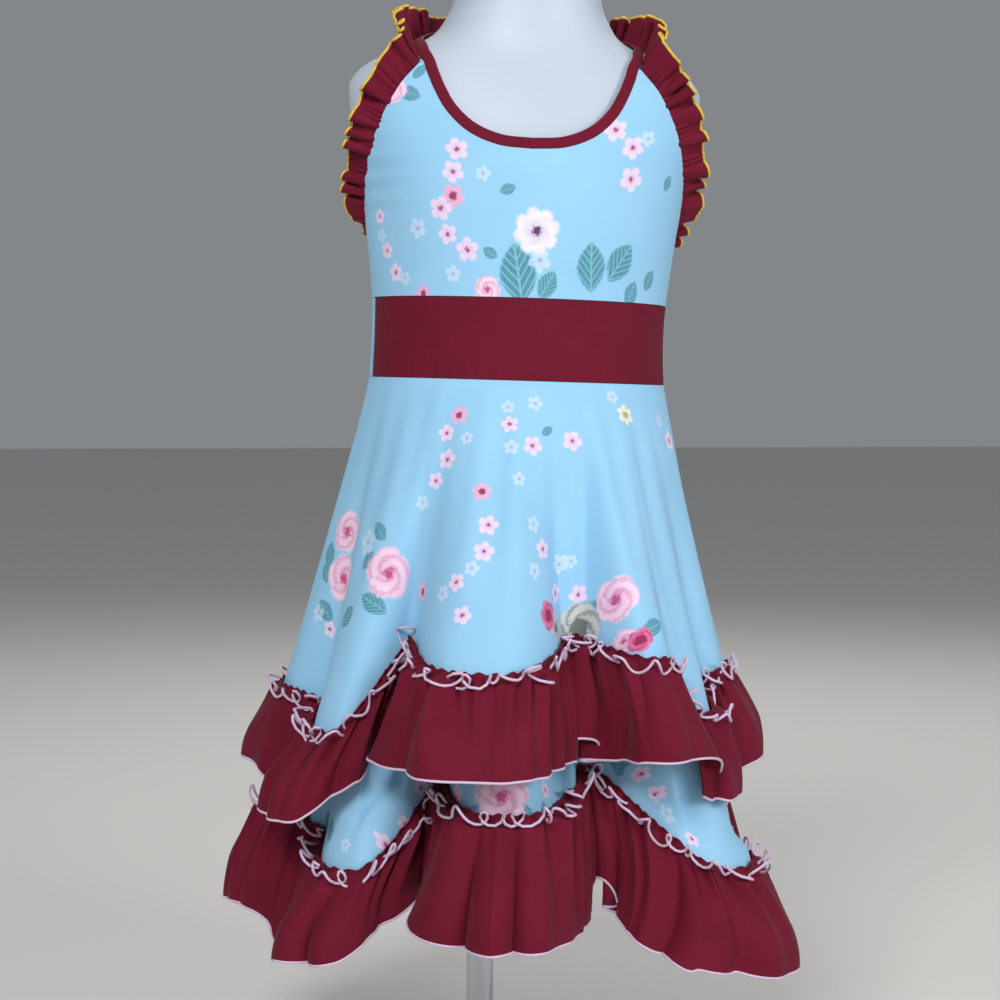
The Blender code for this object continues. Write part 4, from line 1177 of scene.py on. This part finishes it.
UPRIGHT_LEAN_DEG = 22.0
FrillStation = namedtuple("FrillStation", "share stand_deg upright width")
FRILL_STATIONS = [
    FrillStation(0.00, 34.0, 0.0, 0.35),
    FrillStation(0.08, 34.0, 0.0, 0.85),
    FrillStation(0.20, 36.0, 0.0, 1.00),
    FrillStation(0.38, 40.0, 0.1, 1.10),
    FrillStation(0.50, 50.0, 0.5, 1.20),
    FrillStation(0.62, 60.0, 1.0, 1.25),
    FrillStation(1.00, 60.0, 1.0, 1.05),
]

yellow_thread, yellow = new_material("yellow_lettuce_edge_thread")
yellow.inputs["Base Color"].default_value = linear("#D2B03C")
yellow.inputs["Roughness"].default_value = 0.6


def evened(directions, rounds):
    """Directions along a line with their sudden turns spread over the neighbours."""
    for _ in range(rounds):
        inner = directions[:-2] + 2 * directions[1:-1] + directions[2:]
        directions = unit(np.concatenate([directions[:1], inner, directions[-1:]]))
    return directions


armhole_turns, armhole_heights = edge_at(np.linspace(1.0, ARMHOLE[0].share + 0.01, 80))
beyond = slice(strap_point + 6, int(np.searchsorted(neck_turns, np.radians(FRILL_END_DEG))))
base_turns = np.concatenate([armhole_turns, neck_turns[beyond]])
base_heights = np.concatenate([armhole_heights, neck_heights[beyond]])
run = run_along(neck_points(base_turns, base_heights))
share = np.linspace(0.0, 1.0, FRILL_COLUMNS + 1)
turn = np.interp(share * run[-1], run, base_turns)
height = np.interp(share * run[-1], run, base_heights)
line = neck_points(turn, height)
along = unit(np.gradient(line, axis=0))
normal = form_normal(turn, height, CLOTH_STAND_OFF)
away = unit(np.cross(along, normal))
stations = [s.share for s in FRILL_STATIONS]
stand = np.radians(smooth_curve(stations, [s.stand_deg for s in FRILL_STATIONS], share))
upright = smooth_curve(stations, [s.upright for s in FRILL_STATIONS], share)[:, None]
width = FRILL_WIDTH * smooth_curve(stations, [s.width for s in FRILL_STATIONS], share)
off_form = away * np.cos(stand)[:, None] + normal * np.sin(stand)[:, None]
lean = np.radians(UPRIGHT_LEAN_DEG)
sideways = unit(line * np.array([1.0, 1.0, 0.0]))
standing = sideways * np.sin(lean) + np.array([0.0, 0.0, np.cos(lean)])
reach = evened(unit(off_form * (1 - upright) + standing * upright), 400)
smooth_along = evened(along, 400)
across = unit(np.cross(reach, smooth_along))
start = line + evened(away, 400) * (0.0046 * upright - 0.0006) + normal * (0.0012 * upright - 0.0008)

for side_name, mirror, seed in (("left", False, 31), ("right", True, 35)):
    phase = 2 * np.pi * (FRILL_WAVES * share + 0.45 * drift(share, (3, 5, 8), seed))
    pleats = 2 * np.pi * (2.6 * FRILL_WAVES * share + 0.5 * drift(share, (9, 14), seed + 1))
    strength = np.clip(1.0 + 0.35 * drift(share, (4, 7, 11), seed + 2), 0.5, 1.6)
    layers = []
    for k in range(FRILL_ROWS + 1):
        part = k / FRILL_ROWS
        depth = 0.0036 * strength * (0.10 + 0.90 * part**0.9)
        fine = 0.0009 * (0.35 + 0.65 * math.exp(-part / 0.45)) * np.cos(pleats)
        wave = depth * (np.cos(phase) + 0.22 * np.cos(2 * phase + 0.7)) + fine
        sway = 0.55 * depth * np.sin(2 * phase)
        length = width * part * (1.0 + 0.07 * np.cos(phase + 1.0) * part)
        layers.append(
            start + reach * length[:, None] + across * wave[:, None] + smooth_along * sway[:, None]
        )
    points = np.array(layers)
    if mirror:
        points = (points * np.array([-1.0, 1.0, 1.0]))[::-1]
    edge = points[0] if mirror else points[-1]
    frill = lay_grid(f"armhole_frill_{side_name}_cloth", settle(points), strip_place(points))
    cloth_wall(frill, 0.0009, 0.0)
    finish_piece(frill, burgundy_cotton, sharp_deg=70.0)
    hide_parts(f"armhole_frill_{side_name}")
    edge_thread = thread_tube(
        f"frill_edge_thread_{side_name}",
        settle(edge),
        0.0010,
        7,
        yellow_thread,
        closed=False,
    )

# Floor, light and camera.
# A plain pale floor, soft studio light from the upper left, and the camera where the photo
# was taken: 1.45 m away, at waist height, a little to the dress's right.

deselect_all()
bpy.ops.mesh.primitive_plane_add(size=30.0, location=(0, 0, 0))
floor = bpy.context.object
floor.name = "floor"
floor_paint, floor_surface = new_material("matt_floor_paint")
floor_surface.inputs["Base Color"].default_value = linear("#D9D6D1")
floor_surface.inputs["Roughness"].default_value = 0.9
floor.data.materials.append(floor_paint)

StudioLight = namedtuple("StudioLight", "name place size watts")
STUDIO_LIGHTS = [
    StudioLight("key_softbox", (-0.8, -2.1, 2.0), 0.9, 47.0),
    StudioLight("fill_softbox", (1.7, -1.8, 1.1), 1.0, 29.0),
    StudioLight("back_softbox", (0.4, 1.8, 2.0), 1.5, 22.0),
]
TARGET = Vector((0.02, 0.0, 0.42))
for light in STUDIO_LIGHTS:
    data = bpy.data.lights.new(light.name, "AREA")
    data.size = light.size
    data.energy = light.watts
    lamp = bpy.data.objects.new(light.name, data)
    lamp.location = light.place
    lamp.rotation_euler = (TARGET - Vector(light.place)).to_track_quat("-Z", "Y").to_euler()
    bpy.context.scene.collection.objects.link(lamp)

world = bpy.data.worlds.new("studio")
world.use_nodes = True
world.node_tree.nodes["Background"].inputs["Color"].default_value = linear("#E9EEF4")
world.node_tree.nodes["Background"].inputs["Strength"].default_value = 0.28
bpy.context.scene.world = world
bpy.context.scene.view_settings.view_transform = "Standard"

CAMERA_PLACE = (-0.0868, -1.4465, 0.500)
CAMERA_TURN_DEG = 4.0
CAMERA_PITCH_DEG = 3.18
camera_data = bpy.data.cameras.new("photo_camera")
camera_data.lens = 74.56
camera_data.sensor_width = 36.0
camera = bpy.data.objects.new("photo_camera", camera_data)
camera.location = CAMERA_PLACE
camera.rotation_euler = (
    math.radians(90.0 - CAMERA_PITCH_DEG),
    0.0,
    -math.radians(CAMERA_TURN_DEG),
)
bpy.context.scene.collection.objects.link(camera)
bpy.context.scene.camera = camera
